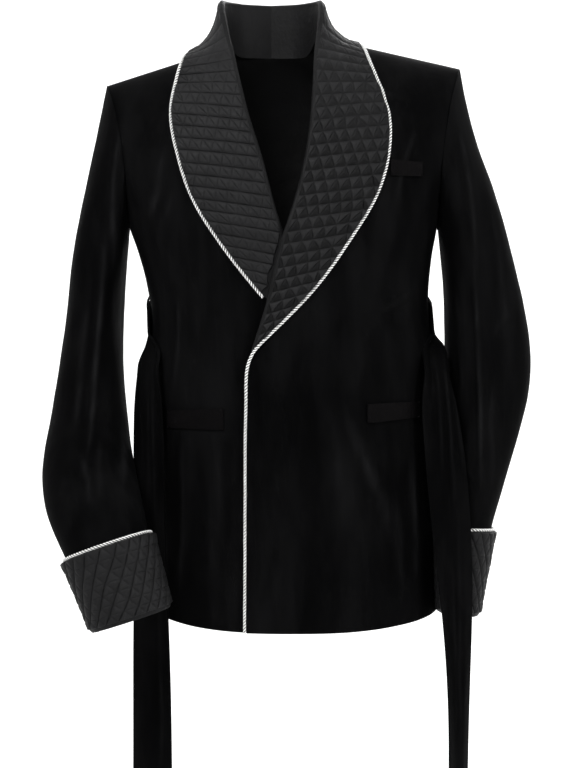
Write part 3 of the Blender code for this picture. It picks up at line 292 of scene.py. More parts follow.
def make_velvet():
    """Velvet with a painted highlight, a little lighter colour, along the crests of its creases."""
    material, nodes, links, shader, place = new_material("black_velvet")
    nap = grain(nodes, links, place, 18, 5, (1, 1, 0.28), 0.62)
    pile = grain(nodes, links, place, 1500, 2)
    brushed = grain(nodes, links, place, 110, 3, (1, 1, 0.25))
    # Painted highlight: this attribute mixes the nap's own dark colour toward the lighter colours on
    # the crests of creases
    crest_highlight = nodes.new("ShaderNodeAttribute")
    crest_highlight.attribute_name = "crest_highlight"
    dark = [(0.32, (0.0006, 0.0006, 0.0007)), (0.75, (0.0034, 0.0034, 0.0036))]
    # The lighter colours are the painted highlight on the crests, varied by the brushed noise
    light = [(0.30, (0.0050, 0.0050, 0.0053)), (0.75, (0.0110, 0.0110, 0.0116))]
    colour = ramp(nodes, links, nap, dark)
    lit = ramp(nodes, links, brushed, light)
    mix = nodes.new("ShaderNodeMix")
    mix.data_type = "RGBA"
    links.new(crest_highlight.outputs["Fac"], mix.inputs["Factor"])
    links.new(colour, mix.inputs["A"])
    links.new(lit, mix.inputs["B"])
    links.new(mix.outputs["Result"], shader.inputs["Base Color"])
    shader.inputs["Roughness"].default_value = 0.75
    shader.inputs["Specular IOR Level"].default_value = 0.02
    shader.inputs["Sheen Weight"].default_value = 0.004
    shader.inputs["Sheen Roughness"].default_value = 0.30
    shader.inputs["Sheen Tint"].default_value = (0.86, 0.88, 0.95, 1)
    raise_surface(nodes, links, shader, [(nap, 0.0010), (brushed, 0.0003), (pile, 0.00012)])
    return material


def make_satin(name, valley, crown, roughness, gloss):
    """Satin with painted shade in the stitched valleys and a painted highlight on the puffed crowns.
    """
    material, nodes, links, shader, place = new_material(name)
    # Painted light and shade of the quilting, read from an attribute
    painted_quilt_light = nodes.new("ShaderNodeAttribute")
    painted_quilt_light.attribute_name = "painted_quilt_light"
    wear = grain(nodes, links, place, 45, 4)
    crinkle = grain(nodes, links, place, 260, 3, (1, 1, 0.6))
    weave = grain(nodes, links, place, 2200, 2, (1, 1, 0.3))
    middle = tuple(0.62 * low + 0.38 * high for low, high in zip(valley, crown))
    # The valley colour is painted shade and the crown colour is painted light
    base = ramp(nodes, links, painted_quilt_light.outputs["Fac"], [(0.0, valley), (0.95, crown), (0.30, middle)])
    shade = ramp(nodes, links, wear, [(0.25, (0.72, 0.72, 0.72)), (0.75, (1, 1, 1))])
    mix = nodes.new("ShaderNodeMix")
    mix.data_type, mix.blend_type = "RGBA", "MULTIPLY"
    mix.inputs["Factor"].default_value = 1
    links.new(base, mix.inputs["A"])
    links.new(shade, mix.inputs["B"])
    links.new(mix.outputs["Result"], shader.inputs["Base Color"])
    shader.inputs["Roughness"].default_value = roughness
    shader.inputs["Specular IOR Level"].default_value = gloss
    shader.inputs["Sheen Weight"].default_value = 0.008
    shader.inputs["Sheen Roughness"].default_value = 0.4
    raise_surface(nodes, links, shader, [(wear, 0.0012), (crinkle, 0.0006), (weave, 0.00008)])
    return material


def make_cord_white():
    """White cord with painted shade in the grooves between its plies."""
    material, nodes, links, shader, place = new_material("white_cord")
    fibre = grain(nodes, links, place, 1800, 2)
    soil = grain(nodes, links, place, 70, 3)
    # Painted shade in the grooves, read from an attribute
    groove_shade = nodes.new("ShaderNodeAttribute")
    groove_shade.attribute_name = "groove_shade"
    white = ramp(nodes, links, soil, [(0.3, (0.84, 0.84, 0.82)), (0.7, (0.92, 0.92, 0.91))])
    depth = [(0.15, (0.03, 0.03, 0.03)), (0.90, (1, 1, 1))]
    shade = ramp(nodes, links, groove_shade.outputs["Fac"], depth)
    mix = nodes.new("ShaderNodeMix")
    mix.data_type, mix.blend_type = "RGBA", "MULTIPLY"
    mix.inputs["Factor"].default_value = 1
    links.new(white, mix.inputs["A"])
    links.new(shade, mix.inputs["B"])
    links.new(mix.outputs["Result"], shader.inputs["Base Color"])
    shader.inputs["Roughness"].default_value = 0.62
    shader.inputs["Specular IOR Level"].default_value = 0.2
    raise_surface(nodes, links, shader, [(fibre, 0.0002)])
    return material


VELVET = make_velvet()
# For the quilted satin the darker valley colour is painted shade and the lighter crown colour is
# painted light
SATIN = make_satin("quilted_satin", (0.0022, 0.0022, 0.0024), (0.0120, 0.0120, 0.0126), 0.58, 0.10)
PLAIN_SATIN = make_satin("plain_satin", (0.0016, 0.0013, 0.0015), (0.0032, 0.0025, 0.0029), 0.55, 0.03)
LINING = make_satin("dark_lining", (0.003, 0.003, 0.0032), (0.004, 0.004, 0.0045), 0.5, 0.10)
CORD = make_cord_white()


# Shaping cloth


def ease(value):
    """0 up to 0, 1 from 1, and a smooth rise between them."""
    value = min(max(value, 0.0), 1.0)
    return value * value * (3 - 2 * value)


def swell(value, middle, spread):
    """1 at the middle, fading smoothly to 0 on both sides."""
    return math.exp(-(((value - middle) / spread) ** 2))


def select_only(piece):
    """Selects one piece and makes it the active one."""
    bpy.ops.object.select_all(action="DESELECT")
    piece.select_set(True)
    bpy.context.view_layer.objects.active = piece


def copy_of(node, name):
    """A new piece with the node's own form, its loose triangles joined."""
    piece = bpy.data.objects.new(name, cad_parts[node].data.copy())
    bpy.context.scene.collection.objects.link(piece)
    piece.data.materials.clear()
    select_only(piece)
    bpy.ops.object.mode_set(mode="EDIT")
    bpy.ops.mesh.select_all(action="SELECT")
    bpy.ops.mesh.remove_doubles(threshold=0.00001)
    bpy.ops.object.mode_set(mode="OBJECT")
    return piece


def soften(piece, levels):
    """Subdivides a thin wall smoothly and keeps its cut edges where they are."""
    select_only(piece)
    bpy.ops.object.mode_set(mode="EDIT")
    bpy.ops.mesh.select_all(action="SELECT")
    bpy.ops.mesh.tris_convert_to_quads(
        face_threshold=math.radians(60), shape_threshold=math.radians(70)
    )
    bpy.ops.mesh.select_mode(type="EDGE")
    bpy.ops.mesh.select_all(action="DESELECT")
    bpy.ops.mesh.edges_select_sharp(sharpness=RIM_ANGLE)
    bpy.ops.transform.edge_crease(value=1.0)
    bpy.ops.object.mode_set(mode="OBJECT")
    smooth = piece.modifiers.new("smooth", "SUBSURF")
    smooth.levels = smooth.render_levels = levels
    bpy.ops.object.modifier_apply(modifier=smooth.name)


def trough(point, crease):
    """How deep a crease is at a point, with a low ridge beside it, and how much painted highlight
    falls on its crest.
    """
    start, end = Vector((crease.x0, crease.z0)), Vector((crease.x1, crease.z1))
    along = end - start
    here = Vector((point.x, point.z))
    share = (here - start).dot(along) / along.length_squared
    if not 0 < share < 1:
        return 0.0, 0.0
    side = Vector((-along.y, along.x)).normalized()
    wander = crease.bend * math.sin(math.pi * share)
    wander += 0.25 * crease.width * noise.noise(Vector((share * 4, crease.x0 * 90, crease.z0 * 50)))
    off = ((here - start).dot(side) - wander) / crease.width
    if abs(off) > 3.5:
        return 0.0, 0.0
    swell = 0.75 + 0.5 * noise.noise(Vector((crease.z1 * 70, share * 3, crease.x1 * 40)))
    held = swell * ease(share * 3) * ease((1 - share) * 3)
    depth = crease.depth * held * (math.exp(-off * off) - 0.42 * math.exp(-((off - 1.7) ** 2) / 0.8))
    # Painted highlight along the ridge beside the trough
    crest_highlight = 0.75 * crease.depth / 0.0045 * held * math.exp(-((off - 1.2) ** 2) / 0.22)
    return depth, crest_highlight


def press(piece, out_from, front, back, hold=None):
    """Presses creases into a piece: front ones where it faces the viewer, back ones behind. out_from
    gives the way out at a point, and hold how freely the cloth can move there."""
    # Painted highlight on the crests of the creases, kept as an attribute for the velvet's colour
    crest_highlights = piece.data.attributes.new("crest_highlight", "FLOAT", "POINT").data
    for index, vertex in enumerate(piece.data.vertices):
        point = vertex.co
        free = hold(point) if hold else 1.0
        if free <= 0:
            continue
        out = out_from(point)
        facing = ease(0.5 - 1.6 * out.y)
        depth = crest_highlight = 0.0
        for creases, share in ((front, facing), (back, 1 - facing)):
            if share > 0.01:
                for crease in creases:
                    trough_here, crest_highlight_here = trough(point, crease)
                    depth += trough_here * share
                    crest_highlight += crest_highlight_here * share
        slack = noise.noise(point * 14) * 0.0009 + noise.noise(point * 38) * 0.00035
        crest_highlights[index].value = min(crest_highlight * free, 1.0)
        vertex.co = point - out * (depth + slack) * free


def out_of_torso(point):
    away = point - TORSO_MIDDLE
    return Vector((away.x / TORSO_HALF_WIDTH**2, away.y / TORSO_HALF_DEPTH**2, 0)).normalized()


def out_of_sleeve(side):
    """The way out from a sleeve's middle line."""
    line = SLEEVE_MIDDLES[side]

    def out(point):
        best = None
        for a, b in zip(line, line[1:]):
            share = min(max((point - a).dot(b - a) / (b - a).length_squared, 0.0), 1.0)
            away = point - a.lerp(b, share)
            if best is None or away.length < best.length:
                best = away
        return best.normalized()

    return out


def finish(piece, node, materials, lined_by=None):
    """Materials, smooth shading, and the piece's place in the frame. Faces that turn inwards are
    lined where lined_by gives the way out."""
    for material in materials:
        piece.data.materials.append(material)
    if lined_by:
        for face in piece.data.polygons:
            if face.normal.dot(lined_by(face.center)) < -0.15:
                face.material_index = 1
    select_only(piece)
    bpy.ops.object.shade_smooth_by_angle(angle=SMOOTH_ANGLE)
    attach(piece, "root")
    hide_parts(node)
    return piece


def make_panel(node, name):
    """A front or the back: velvet outside, lining inside."""
    piece = copy_of(node, name)
    soften(piece, 3)
    press(piece, out_of_torso, FRONT_CREASES, BACK_CREASES)
    return finish(piece, node, [VELVET, LINING], out_of_torso)


def fill_sides(piece):
    """Lets the body stand a little fuller at its sides under the belt, and at the left of the hem."""
    for vertex in piece.data.vertices:
        point = vertex.co
        right, left = ease((-0.118 - point.x) / 0.030), ease((point.x - 0.138) / 0.030)
        waist = swell(point.z, WAIST, WAIST_SPREAD)
        hem = ease((-0.54 - point.z) / 0.06)
        point.x += left * (FULLER_LEFT * waist + FULLER_HEM * hem) - right * FULLER_RIGHT * waist


def close_shoulders(piece):
    """Laps the back a little under the fronts along the shoulder seams."""
    for vertex in piece.data.vertices:
        point = vertex.co
        near = ease((0.020 - point.y) / 0.011) * ease((point.z + 0.14) / 0.04)
        point.y -= SHOULDER_LAP * near


def round_front_edge(piece):
    """Rounds the left front's edge a little further out where it turns down from the lapel."""
    for vertex in piece.data.vertices:
        point = vertex.co
        if point.y < 0:
            turn = swell(point.z, FRONT_TURN, FRONT_TURN_SPREAD)
            point.x -= FRONT_TURN_OUT * turn * ease((0.020 - point.x) / 0.050)


def draw_in_wrist(piece):
    """Brings the inner side of the left wrist a little closer to the body."""
    for vertex in piece.data.vertices:
        point = vertex.co
        point.x -= WRIST_IN * ease((-0.52 - point.z) / 0.08) * ease((0.246 - point.x) / 0.03)


def make_sleeve(side):
    """A sleeve: velvet outside, lining inside, with its head rolled over the seam."""
    node = f"sleeve_{side}"
    piece = copy_of(node, f"{side}_sleeve_cloth")
    soften(piece, 3)
    front = LEFT_SLEEVE_FRONT if side == "left" else RIGHT_SLEEVE_FRONT
    back = LEFT_SLEEVE_BACK if side == "left" else RIGHT_SLEEVE_BACK
    press(piece, out_of_sleeve(side), front, back, free_of_seams)
    fill_sleeve_head(piece, side)
    return finish(piece, node, [VELVET, LINING], out_of_sleeve(side))


def free_of_seams(point):
    """How freely a sleeve creases: not at its seam on the armhole, nor under its cuff."""
    away = ease((abs(point.x) - 0.2000) / 0.012) if point.z > -0.245 else 1.0
    return away * ease((point.z + 0.60) / 0.05)


def fill_sleeve_head(piece, side):
    """Rolls the top of a sleeve up a little over its padding, just outside the seam."""
    sign = 1 if side == "left" else -1
    out_from = out_of_sleeve(side)
    for vertex in piece.data.vertices:
        point = vertex.co
        if point.z < -0.20:
            continue
        roll = HEAD_ROLL * swell(point.x * sign, 0.218, 0.012) * ease((point.z + 0.20) / 0.12)
        vertex.co = point + out_from(point) * roll


# Quilting


def stitched_rows(side, deep, light):
    """On the collar the rows across it are stitched deep, and the slanted lines are lighter."""
    rows = [(Vector(fold), Vector(edge)) for fold, edge in COLLAR_ROWS[side]]

    def depths(corners):
        middle = sum(corners, Vector()) / 3

        def away(row):
            fold, edge = row
            share = (middle - fold).dot(edge - fold) / (edge - fold).length_squared
            return (middle - fold.lerp(edge, min(max(share, 0), 1))).length

        fold, edge = min(rows, key=away)
        way = (edge - fold).normalized()
        edges = [corners[(i + 2) % 3] - corners[(i + 1) % 3] for i in range(3)]
        alike = [abs(side_line.normalized().dot(way)) for side_line in edges]
        row = alike.index(max(alike))
        return [deep if i == row else light for i in range(3)]

    return depths


def stitched_slant(side):
    """On a cuff the lines that slant one way are stitched deep, and the others are light."""
    along = (SLEEVE_MIDDLES[side][-1] - SLEEVE_MIDDLES[side][-2]).normalized()
    out_from = out_of_sleeve(side)
    hand = -1 if side == "left" else 1

    def depths(corners):
        across = along.cross(out_from(sum(corners, Vector()) / 3)).normalized()
        slants = []
        for i in range(3):
            edge = (corners[(i + 2) % 3] - corners[(i + 1) % 3]).normalized()
            slants.append(edge.dot(along) * edge.dot(across) * hand)
        deep = slants.index(max(slants))
        return [CUFF_STITCH if i == deep else FAINT_STITCH for i in range(3)]

    return depths


def split_faces(points, faces):
    """The stitched triangles, each of which the node draws as three faces round a raised point,
    and the flat faces."""
    around = [[] for _ in points]
    for index, face in enumerate(faces):
        for corner in face:
            around[corner].append(index)
    gone, stitched = set(), []
    for index, members in enumerate(around):
        if len(members) != 3:
            continue
        turned = faces[members[0]]
        spot = turned.index(index)
        first = [turned[(spot + 1) % 3], turned[(spot + 2) % 3]]
        rest = {c for m in members for c in faces[m]} - {index, *first}
        if len(rest) != 1:
            continue
        corners = (*first, rest.pop())
        middle = sum((points[c] for c in corners), Vector()) / 3
        if (points[index] - middle).length < LEAST_RISE:
            continue
        stitched.append(corners)
        gone.update(members)
    return stitched, [face for index, face in enumerate(faces) if index not in gone]


def rise_between(place, weights, depths):
    """How far the cloth rises between its stitches at a place, and how light it is there: the dark
    thread with painted shade in the valley along each stitched line.
    """
    crown = shade = 1.0
    for weight, stitch in zip(weights, depths):
        near = 1 - min(weight / stitch.reach, (1 - weight) / stitch.beyond, 1.0)
        crown *= 1 - stitch.depth * near**stitch.shape
        # Dark thread and painted shade next to each stitched line, darker for deeper stitching
        thread_and_valley_shade = 1 - min(weight, THREAD_AND_SHADE_WIDTH) / THREAD_AND_SHADE_WIDTH
        shade *= 1 - stitch.depth * thread_and_valley_shade**1.5 * (0.75 + 0.5 * noise.noise(place * 120))
    return crown, shade


def puffed(name, node, depths_of, low_light, high_light):
    """The node's cloth with its stitched triangles puffed between the lines of stitching. The
    attribute painted_quilt_light holds painted shade and painted light: 0 in the deep stitching,
    high_light on the crowns that lean up and low_light on the ones that lean down, which catch
    less light except near the neck."""
    piece = copy_of(node, name)
    mesh = piece.data
    points = [v.co.copy() for v in mesh.vertices]
    stitched, flat = split_faces(points, [tuple(p.vertices) for p in mesh.polygons])
    beside = [[] for _ in points]
    for face in flat + stitched:
        a, b, c = (points[i] for i in face)
        for i in face:
            beside[i].append((b - a).cross(c - a))
    normals = [sum(ways, Vector()).normalized() for ways in beside]
    quilted = set(stitched)
    made, made_at, made_faces, painted_quilt_light = {}, [], [], []

    def corner_normals(face):
        """The way out at each corner, without the faces round a sharp edge."""
        a, b, c = (points[i] for i in face)
        own = (b - a).cross(c - a).normalized()
        return [
            sum((way for way in beside[i] if way.normalized().dot(own) > 0.76), Vector()).normalized()
            for i in face
        ]

    def light_on(face, depths):
        """How light a stitched triangle is."""
        far = [stitch.depth for stitch in depths].index(1.0)
        level = sum(points[face[i]].z for i in range(3) if i != far) / 2
        if points[face[far]].z <= level:
            return high_light
        return min(low_light + 0.35 * ease((level + 0.16) / 0.10), high_light)

    def point_at(face, shares, depths, ways, light):
        """The number of the point at a place on a face, made the first time it is asked for."""
        key = tuple(sorted((i, s) for i, s in zip(face, shares) if s))
        if key in made:
            return made[key]
        weights = [(s / QUILT_STEPS) ** 1.5 for s in shares]
        weights = [w / sum(weights) for w in weights]
        place = sum((points[i] * w for i, w in zip(face, weights)), Vector())
        out = sum((way * w for way, w in zip(ways, weights)), Vector())
        rounded = sum(
            (
                (place - way * (place - points[i]).dot(way)) * w
                for i, way, w in zip(face, ways, weights)
            ),
            Vector(),
        )
        place = place.lerp(rounded, 0.7)
        shade = 0.38
        if depths:
            crown, shade = rise_between(place, weights, depths)
            pucker = noise.noise(place * 170) * 0.00030 + noise.noise(place * 60) * 0.00035
            height = PUFF_HEIGHT * (1 - 0.55 * ease((place.z + 0.050) / 0.045))
            place = place + out.normalized() * (height * crown + pucker * min(crown + 0.4, 1))
        made[key] = len(made_at)
        made_at.append(place)
        # Painted shade in the stitching and painted light on the crowns
        painted_quilt_light.append(max(shade, 0.0) * light)
        return made[key]

    for face in flat + stitched:
        depths = depths_of([points[i] for i in face]) if face in quilted else None
        ways = [normals[i] for i in face] if depths else corner_normals(face)
        light = light_on(face, depths) if depths else 1.0
        grid = {}
        for i in range(QUILT_STEPS + 1):
            for j in range(QUILT_STEPS + 1 - i):
                grid[i, j] = point_at(face, (QUILT_STEPS - i - j, i, j), depths, ways, light)
        for i in range(QUILT_STEPS):
            for j in range(QUILT_STEPS - i):
                made_faces.append((grid[i, j], grid[i + 1, j], grid[i, j + 1]))
                if j < QUILT_STEPS - i - 1:
                    made_faces.append((grid[i + 1, j], grid[i + 1, j + 1], grid[i, j + 1]))
    mesh.clear_geometry()
    mesh.from_pydata(made_at, [], made_faces)
    mesh.update()
    # Painted light and shade of the quilting, for the satin's colour
    layer = mesh.attributes.new("painted_quilt_light", "FLOAT", "POINT")
    for item, value in zip(layer.data, painted_quilt_light):
        item.value = value
    return piece


def seat_stand(piece):
    """Draws the foot of the collar's stand down to the neckline at the back of the neck."""
    for vertex in piece.data.vertices:
        point = vertex.co
        away = Vector((point.x - NECK_MIDDLE.x, point.y - NECK_MIDDLE.y, 0))
        turn = abs(math.degrees(math.atan2(away.x, away.y)))
        inner = 0.0648 if away.x > 0 else 0.0648 + 0.0060 * ease(turn / 40)
        if point.z > STAND_TOP or away.length > inner or turn > STAND_SPAN:
            continue
        share = (STAND_TOP - point.z) / STAND_HEIGHT * ease((STAND_SPAN - turn) / 34)
        down = Vector((0, 0, STAND_DROP * share))
        vertex.co = point - away.normalized() * 0.0016 * share - down


def raise_fold(piece):
    """Stands the fold of the collar higher round the neck."""
    for vertex in piece.data.vertices:
        vertex.co.z += FOLD_RISE * ease((vertex.co.z - 0.002) / 0.052)


def join_halves(left, right):
    """Sews the two halves of the collar together at the centre back."""
    tree = kdtree.KDTree(len(right.data.vertices))
    for index, vertex in enumerate(right.data.vertices):
        tree.insert(vertex.co, index)
    tree.balance()
    for vertex in left.data.vertices:
        if abs(vertex.co.x) > 0.04:
            continue
        place, index, distance = tree.find(vertex.co)
        if distance < 0.0009:
            middle = (vertex.co + place) / 2
            vertex.co = middle
            right.data.vertices[index].co = middle


# Cord


def centre_line(node, closed):
    """The middle points of a tube, ring by ring from one end to the other."""
    tube = copy_of(node, "cord_path")
    shape = bmesh.new()
    shape.from_mesh(tube.data)
    bpy.data.objects.remove(tube)
    ring_of, rings = {}, []
    for start in shape.verts:
        if start in ring_of:
            continue
        members, waiting = [], [start]
        ring_of[start] = len(rings)
        while waiting:
            vertex = waiting.pop()
            members.append(vertex)
            for edge in vertex.link_edges:
                other = edge.other_vert(vertex)
                if other not in ring_of and edge.calc_length() < TUBE_RING_EDGE:
                    ring_of[other] = len(rings)
                    waiting.append(other)
        rings.append(members)
    middles = [sum((v.co for v in members), Vector()) / len(members) for members in rings]
    beside = [set() for _ in rings]
    for edge in shape.edges:
        a, b = (ring_of[v] for v in edge.verts)
        if a != b:
            beside[a].add(b)
            beside[b].add(a)
    shape.free()
    at = 0 if closed else next(i for i, others in enumerate(beside) if len(others) == 1)
    order, seen = [at], {at}
    while True:
        onward = [i for i in beside[order[-1]] if i not in seen]
        if not onward:
            break
        at = min(onward, key=lambda i: (middles[i] - middles[order[-1]]).length)
        order.append(at)
        seen.add(at)
    line = [middles[i] for i in order]
    return line + [line[0]] if closed else line


def evened(line, closed):
    """The same line with its small kinks taken out."""
    for _ in range(2):
        eased = list(line)
        for i in range(1, len(line) - 1):
            eased[i] = line[i] * 0.5 + (line[i - 1] + line[i + 1]) * 0.25
        if closed:
            eased[0] = eased[-1] = line[0] * 0.5 + (line[-2] + line[1]) * 0.25
        line = eased
    return line


def smooth_line(line, step, closed):
    """Points a step apart along a smooth curve through the line's own points."""
    dense = []
    count = len(line)
    for i in range(count - 1):
        if closed:
            before = line[i - 1 if i else count - 2]
            after = line[i + 2 if i < count - 2 else 1]
        else:
            before, after = line[max(i - 1, 0)], line[min(i + 2, count - 1)]
        a, b = line[i], line[i + 1]
        for k in range(24):
            t = k / 24
            dense.append(
                a * (2 * t**3 - 3 * t**2 + 1)
                + (b - before) * 0.5 * (t**3 - 2 * t**2 + t)
                + b * (3 * t**2 - 2 * t**3)
                + (after - a) * 0.5 * (t**3 - t**2)
            )
    dense.append(line[-1])
    points, left = [dense[0]], step
    for a, b in zip(dense, dense[1:]):
        length = (b - a).length
        while length >= left > 0:
            a = a.lerp(b, left / length)
            points.append(a)
            length -= left
            left = step
        left -= length
    return points


def make_cord(node, name, out_from, closed=False):
    """Two plies laid round each other along the middle of the node's tube."""
    points = smooth_line(evened(centre_line(node, closed), closed), CORD_STEP, closed)
    side = Vector((0, 0, 1))
    strands = [[] for _ in range(CORD_STRANDS)]
    for index, point in enumerate(points):
        ahead, behind = points[min(index + 1, len(points) - 1)], points[max(index - 1, 0)]
        along = (ahead - behind).normalized()
        side = side - along * side.dot(along)
        side = side.normalized() if side.length > 0.05 else along.orthogonal().normalized()
        up = along.cross(side)
        for k, strand in enumerate(strands):
            turn = 2 * math.pi * (index * CORD_STEP / CORD_PITCH + k / CORD_STRANDS)
            strand.append(point + (side * math.cos(turn) + up * math.sin(turn)) * STRAND_ORBIT)
    curve = bpy.data.curves.new(name, "CURVE")
    curve.dimensions = "3D"
    curve.bevel_depth = STRAND_RADIUS
    curve.bevel_resolution = 1
    curve.use_fill_caps = True
    for strand in strands:
        spline = curve.splines.new("POLY")
        spline.points.add(len(strand) - 1)
        for place, point in zip(spline.points, strand):
            place.co = (*point, 1)
    piece = bpy.data.objects.new(name, curve)
    bpy.context.scene.collection.objects.link(piece)
    select_only(piece)
    bpy.ops.object.convert(target="MESH")
    piece = bpy.context.object
    piece.data.materials.clear()
    tree = kdtree.KDTree(len(points))
    for index, point in enumerate(points):
        tree.insert(point, index)
    tree.balance()
    # Painted shade: darker where the plies meet close to the cord's middle
    layer = piece.data.attributes.new("groove_shade", "FLOAT", "POINT")
    for item, vertex in zip(layer.data, piece.data.vertices):
        away = tree.find(vertex.co)[2]
        item.value = min(max((away - GROOVE_SHADE_START) / GROOVE_SHADE_FADE, 0.0), 1.0)
    if out_from is out_of_torso:
        press(piece, out_from, FRONT_CREASES, BACK_CREASES)
    return finish(piece, node, [CORD])


# Trim and belt


def make_small(node, name, materials):
    """A welt or a loop, softened a little and creased with the cloth under it."""
    piece = copy_of(node, name)
    soften(piece, 2)
    press(piece, out_of_torso, FRONT_CREASES, BACK_CREASES)
    return finish(piece, node, materials)


def shorten(loop):
    """Makes a belt loop a little shorter round its own middle."""
    middle = sum(vertex.co.z for vertex in loop.data.vertices) / len(loop.data.vertices)
    for vertex in loop.data.vertices:
        vertex.co.z = middle + (vertex.co.z - middle) * LOOP_SHARE


def spread_tail(point):
    """Opens the belt's tail where it leaves its loop, and stands the right one a little out."""
    side = "left" if point.x > 0 else "right"
    lift = swell(point.z, TAIL_START, TAIL_START_SPREAD)
    middle = TAIL_MIDDLES[side]
    point.x = middle + (point.x - middle) * (1 + TAIL_WIDER * lift)
    point.z += TAIL_LIFTS[side] * lift
    if side == "right":
        outer = ease((-0.162 - point.x) / 0.014)
        along = ease((-0.385 - point.z) / 0.03) * ease((point.z + 0.66) / 0.10)
        point.x -= RIGHT_TAIL_OUT * outer * along


def make_belt():
    """The belt, with creases pressed into its hanging tails."""
    piece = copy_of("belt", "velvet_belt")
    soften(piece, 3)
    # Painted highlight on the crests of the tails' creases
    crest_highlights = piece.data.attributes.new("crest_highlight", "FLOAT", "POINT").data
    for index, vertex in enumerate(piece.data.vertices):
        point = vertex.co
        held = ease((-0.375 - point.z) / 0.03)
        if held <= 0:
            continue
        spread_tail(point)
        creases = LEFT_TAIL if point.x > 0 else RIGHT_TAIL
        into = Vector((0.15, 0.98, 0)) if point.x > 0 else Vector((0.6, 0.8, 0))
        found = [trough(point, crease) for crease in creases]
        vertex.co = point + into * held * sum(depth for depth, _ in found)
        crest_highlights[index].value = min(held * sum(crest_highlight for _, crest_highlight in found), 1.0)
    return finish(piece, "belt", [VELVET])


# The jacket's pieces

back = make_panel("back", "back_cloth")
front_left = make_panel("front_left", "left_front_cloth")
front_right = make_panel("front_right", "right_front_cloth")
for panel in (back, front_left, front_right):
    fill_sides(panel)
close_shoulders(back)
round_front_edge(front_left)
sleeve_left = make_sleeve("left")
draw_in_wrist(sleeve_left)
sleeve_right = make_sleeve("right")

sloped = stitched_rows("left", SLOPED_ROW, SLOPED_SLANT)
level = stitched_rows("right", ROW, SLANT)
collar_left = puffed("left_quilted_collar", "collar_left", sloped, 0.12, 0.94)
collar_right = puffed("right_quilted_collar", "collar_right", level, 0.80, 0.90)
for collar in (collar_left, collar_right):
    seat_stand(collar)
    raise_fold(collar)
    press(collar, out_of_torso, FRONT_CREASES, BACK_CREASES)
join_halves(collar_left, collar_right)
finish(collar_left, "collar_left", [SATIN])
finish(collar_right, "collar_right", [SATIN])
cuff_left = puffed("left_quilted_cuff", "cuff_left", stitched_slant("left"), 0.62, 0.74)
cuff_right = puffed("right_quilted_cuff", "cuff_right", stitched_slant("right"), 0.62, 0.74)
draw_in_wrist(cuff_left)
finish(cuff_left, "cuff_left", [SATIN])
finish(cuff_right, "cuff_right", [SATIN])

round_front_edge(make_cord("lapel_cord_left", "left_lapel_cord", out_of_torso))
make_cord("lapel_cord_right", "right_lapel_cord", out_of_torso)
draw_in_wrist(make_cord("cuff_cord_left", "left_cuff_cord", out_of_sleeve("left"), closed=True))
make_cord("cuff_cord_right", "right_cuff_cord", out_of_sleeve("right"), closed=True)

breast_welt = make_small("breast_welt", "breast_pocket_welt", [PLAIN_SATIN])
hip_welt_left = make_small("hip_welt_left", "left_hip_welt", [PLAIN_SATIN])
hip_welt_right = make_small("hip_welt_right", "right_hip_welt", [PLAIN_SATIN])
loop_left = make_small("belt_loop_left", "left_belt_loop", [VELVET])
loop_right = make_small("belt_loop_right", "right_belt_loop", [VELVET])
for loop in (loop_left, loop_right):
    shorten(loop)
belt = make_belt()


# Floor, backdrop, lights and camera

ROOM_RADIUS = 7
ROOM_HEIGHT = 9
FLOOR = -1.25
ROOM_BEND = 1.6
FLOOR_GREY = 0.50
LIGHT_TARGET = Vector((0, 0, -0.4))


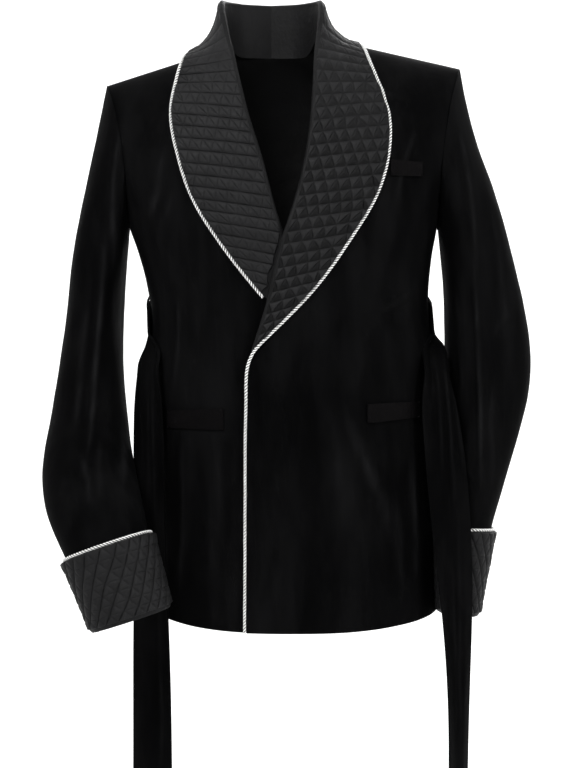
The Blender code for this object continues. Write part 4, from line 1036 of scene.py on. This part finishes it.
def make_studio():
    """A plain pale room with a rounded floor edge, brighter behind the jacket than in front."""
    material, nodes, links, shader, place = new_material("studio_white")
    shader.inputs["Base Color"].default_value = (FLOOR_GREY, FLOOR_GREY, FLOOR_GREY, 1)
    shader.inputs["Roughness"].default_value = 1.0
    shader.inputs["Specular IOR Level"].default_value = 0.0
    shader.inputs["Emission Color"].default_value = (1, 1, 1, 1)
    apart = nodes.new("ShaderNodeSeparateXYZ")
    links.new(place, apart.inputs["Vector"])
    behind = nodes.new("ShaderNodeMapRange")
    behind.inputs["From Min"].default_value = -3.0
    behind.inputs["From Max"].default_value = 1.5
    behind.inputs["To Min"].default_value = 0.16
    behind.inputs["To Max"].default_value = 0.82
    links.new(apart.outputs["Y"], behind.inputs["Value"])
    links.new(behind.outputs["Result"], shader.inputs["Emission Strength"])
    bpy.ops.object.select_all(action="DESELECT")
    bpy.ops.mesh.primitive_cylinder_add(
        vertices=96,
        radius=ROOM_RADIUS,
        depth=ROOM_HEIGHT,
        end_fill_type="NGON",
        location=(0, 0, FLOOR + ROOM_HEIGHT / 2),
    )
    room = bpy.context.object
    room.name = "studio_room"
    bpy.ops.object.mode_set(mode="EDIT")
    bpy.ops.mesh.select_all(action="DESELECT")
    bpy.ops.object.mode_set(mode="OBJECT")
    corners = room.data.vertices
    for edge in room.data.edges:
        edge.select = all(abs(corners[v].co.z + ROOM_HEIGHT / 2) < 0.01 for v in edge.vertices)
    bpy.ops.object.mode_set(mode="EDIT")
    bpy.ops.mesh.select_mode(type="EDGE")
    bpy.ops.mesh.bevel(offset=ROOM_BEND, segments=12)
    bpy.ops.mesh.select_all(action="SELECT")
    bpy.ops.mesh.flip_normals()
    bpy.ops.object.mode_set(mode="OBJECT")
    bpy.ops.object.shade_smooth()
    room.data.materials.append(material)


def add_light(name, place, size, power):
    """A soft light that faces the jacket."""
    bpy.ops.object.light_add(type="AREA", location=place)
    light = bpy.context.object
    light.name = name
    light.data.shape = "RECTANGLE"
    light.data.size, light.data.size_y = size
    light.data.energy = power
    light.rotation_mode = "QUATERNION"
    light.rotation_quaternion = (Vector(place) - LIGHT_TARGET).to_track_quat("Z", "Y")


make_studio()
add_light("key_light", (-1.2, -2.6, 2.0), (1.2, 1.2), 95)
add_light("right_light", (2.4, -2.2, 0.6), (0.8, 1.8), 40)
add_light("back_light", (0.8, 2.8, 1.6), (1.6, 1.6), 40)

world = bpy.data.worlds.new("studio_air")
world.use_nodes = True
world.node_tree.nodes["Background"].inputs["Color"].default_value = (1, 1, 1, 1)
world.node_tree.nodes["Background"].inputs["Strength"].default_value = 0.4
bpy.context.scene.world = world

bpy.ops.object.camera_add(location=(0.00585, -2.4, -0.436), rotation=(math.radians(90), 0, 0))
camera = bpy.context.object
camera.name = "photograph_camera"
camera.data.lens = 86.53
camera.data.sensor_width = 36
bpy.context.scene.camera = camera
bpy.context.scene.view_settings.view_transform = "Standard"
